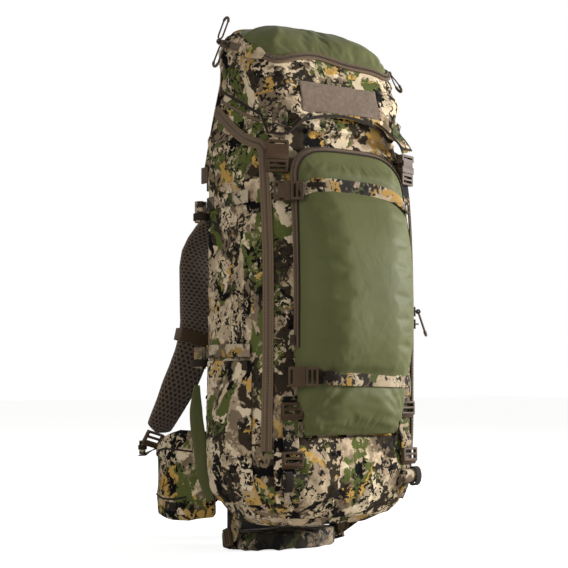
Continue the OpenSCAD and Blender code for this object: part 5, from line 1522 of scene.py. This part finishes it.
def pillow(name, x0, x1, z0, z1, thick, across, up):
    """A foam pad with a domed face, from x0 to x1 and z0 to z1, standing out towards the wearer."""
    def form(u, v):
        a, b = 2 * u - 1, 2 * v - 1
        k = 1 - 0.16 * a * a * b * b
        dome = (np.maximum(1 - np.abs(a) ** 6, 0) * np.maximum(1 - np.abs(b) ** 6, 0)) ** 0.35
        return np.stack([(x0 + x1) / 2 + a * k * (x1 - x0) / 2, PAD_Y + 1 + (thick - 1.3) * dome,
                         (z0 + z1) / 2 + b * k * (z1 - z0) / 2], -1)
    pad = cut(name, across, up, form, (0, 1, 0))
    x, _, z = points(pad).T
    a, b = np.abs(x - (x0 + x1) / 2) / (x1 - x0) * 2, np.abs(z - (z0 + z1) / 2) / (z1 - z0) * 2
    stuff(pad, np.maximum(ramp(np.maximum(a, b), 0.86, 0.98), 0.2), 1.5, 1.5)
    move(pad, np.minimum(points(pad), [1e9, PAD_Y + thick, 1e9]))
    return thicken(pad, 0.9)


pads = []
for x0, x1 in ((-100, -24), (24, 100)):
    for z0, z1 in ((240, 372), (386, 508)):
        pads.append(pillow("back_pad", x0, x1, z0, z1, 14, 26, 40))
pads.append(pillow("lumbar_pad", -98, 98, 46, 196, 20, 56, 44))
finish(join("back_pad_foam", pads), MESH, "back_pads", padded=0.9)
finish(softened("yoke_cloth", "harness_yoke", 1.2, 3), DARK, "harness_yoke", body="harness")
finish(softened("haul_loop_webbing", "haul_loop", 0.3, 1), STRAP, "haul_loop", body="haul")

# ---- base shelf

SHELF_FRONT, SHELF_BACK, SHELF_SIDE, SHELF_H, SHELF_MID = 22, 114, 58, 30, 78.0
shelf_r = ((SHELF_X - 8) ** 2 + (SHELF_SIDE - SHELF_FRONT) ** 2) / (2 * (SHELF_SIDE - SHELF_FRONT))


def shelf_form(u, v):
    """A soft boot round the shelf: flat below and above, with rounded edges and corners."""
    a, t = 2 * math.pi * u, math.pi * (v - 0.5)
    c, s = np.cos(a), np.sin(a)
    to_centre = SHELF_MID - (SHELF_FRONT + shelf_r)
    arc = -to_centre * s + np.sqrt(to_centre**2 * (s * s - 1) + shelf_r**2)
    side, back = np.abs(c) / (SHELF_X - 0.5), np.maximum(s, 0) / (SHELF_BACK - 0.5 - SHELF_MID)
    reach = (side**14 + back**14 + arc ** -14.0) ** (-1 / 14)
    r = squared(t, 7)
    k = np.clip(r * np.cos(t), 0, 1)
    flat = np.where(k > 0.02, np.maximum(reach - 15 * (1 - k), 0) * np.clip(k * 6, 0, 1), 0)
    return np.stack([flat * c, SHELF_MID + flat * s, SHELF_H / 2 * (1 + r * np.sin(t))], -1)


boot = merge(cut("base_shelf_boot", 120, 40, shelf_form), 0.2)
turn_from(boot, [0, SHELF_MID, SHELF_H / 2])
p, o = points(boot), normals(boot)
p = creases(p, o, 3.0, (40, 40, 60), 3.9, 3) - o * 1.2
p[:, 2] = np.clip(p[:, 2], 0, SHELF_H - 0.2)
move(boot, p)
# the boot wears the print darkened as painted shade under the bag
finish(boot, BASE_CAMO_IN_PAINTED_SHADE, "base_shelf", padded=0.7)

# ---- moulded and metal parts

for node, round_off, notch in (
        ("lid_buckle_sockets", 0.7, (0, 0, 1)), ("lid_buckle_plugs", 0.7, None),
        ("strap_sockets", 0.7, (1, -0.2, 0)), ("upper_strap_plug", 0.7, None),
        ("lower_strap_plug", 0.7, None), ("ladder_locks", 0.8, None), ("shoulder_hardware", 0.7, None),
        ("lid_hinge_bars", 0.6, None), ("sternum_strap", 0.5, None), ("belt_tail_left", 0.5, None),
        ("belt_tail_right", 0.5, None)):
    finish(softened(node + "_moulding", node, round_off, notch=notch), ACETAL, node, body=BODY[node])
# the CAD's own shapes, where only the finish is missing
for look, nodes in (
        (ALUMINIUM, ("frame_stays", "frame_crossbars")), (STEEL, ("frame_bolts",)), (SHEET, ("frame_sheet",)),
        (SLIDER, ("pocket_slider", "lid_slider_left", "lid_slider_rear", "lid_slider_right",
                  "main_slider_upper", "main_slider_lower")),
        (CORD, ("lid_pull_left", "lid_pull_rear", "main_pull_upper"))):
    for node in nodes:
        dress(frame["nodes"][node], look)

# ---- stage, light and camera

bpy.context.scene.view_settings.view_transform = "Standard"
WHITE = (1, 1, 1, 1)
bpy.ops.object.select_all(action="DESELECT")
bpy.ops.mesh.primitive_plane_add(size=30, location=(0, 0, 0))
floor = bpy.context.object
floor.name = "floor"
# White seamless paper that takes soft shadows, and glows to the camera as it does under studio light.
floor_paper = bpy.data.materials.new("white_studio_floor")
tree = cleared(floor_paper)
paper = add(tree, "ShaderNodeBsdfDiffuse", {"Color": paint("#d9d8d5")}).outputs[0]
glow = add(tree, "ShaderNodeEmission", {"Color": WHITE, "Strength": 0.82}).outputs[0]
lit = add(tree, "ShaderNodeAddShader", {0: paper, 1: glow}).outputs[0]
seen = add(tree, "ShaderNodeLightPath").outputs["Is Camera Ray"]
shown_as = add(tree, "ShaderNodeMixShader", {0: seen, 1: paper, 2: lit}).outputs[0]
add(tree, "ShaderNodeOutputMaterial", {"Surface": shown_as})
dress(floor, floor_paper)

world = bpy.data.worlds.new("studio")
bpy.context.scene.world = world
tree = cleared(world)
ray = add(tree, "ShaderNodeLightPath").outputs
any_ray = reckon(tree, "MAXIMUM", ray["Is Camera Ray"], ray["Is Glossy Ray"])
soft = add(tree, "ShaderNodeBackground", {"Color": WHITE, "Strength": 0.22}).outputs[0]
white = add(tree, "ShaderNodeBackground", {"Color": WHITE, "Strength": 1.0}).outputs[0]
sky = add(tree, "ShaderNodeMixShader", {0: any_ray, 1: soft, 2: white}).outputs[0]
add(tree, "ShaderNodeOutputWorld", {"Surface": sky})

AIM = Vector((0, -0.086, 0.4))


def softbox(name, at, size, watts):
    bpy.ops.object.light_add(type="AREA", location=at)
    lamp = bpy.context.object
    lamp.name = name
    lamp.data.shape, lamp.data.size, lamp.data.energy = "DISK", size, watts
    lamp.rotation_euler = (AIM - Vector(at)).to_track_quat("-Z", "Y").to_euler()


softbox("key_softbox", (2.6, -1.35, 0.95), 0.9, 162)
softbox("fill_softbox", (-2.9, -1.5, 0.9), 1.6, 36)

bpy.ops.object.camera_add(location=(-1.2988, -1.8623, 0.27))
camera = bpy.context.object
tilt = math.radians(4)
look = Vector((0.574 * math.cos(tilt), 0.819 * math.cos(tilt), math.sin(tilt)))
camera.rotation_euler = look.to_track_quat("-Z", "Y").to_euler()
camera.data.lens, camera.data.sensor_width = 87.1, 36
bpy.context.scene.camera = camera
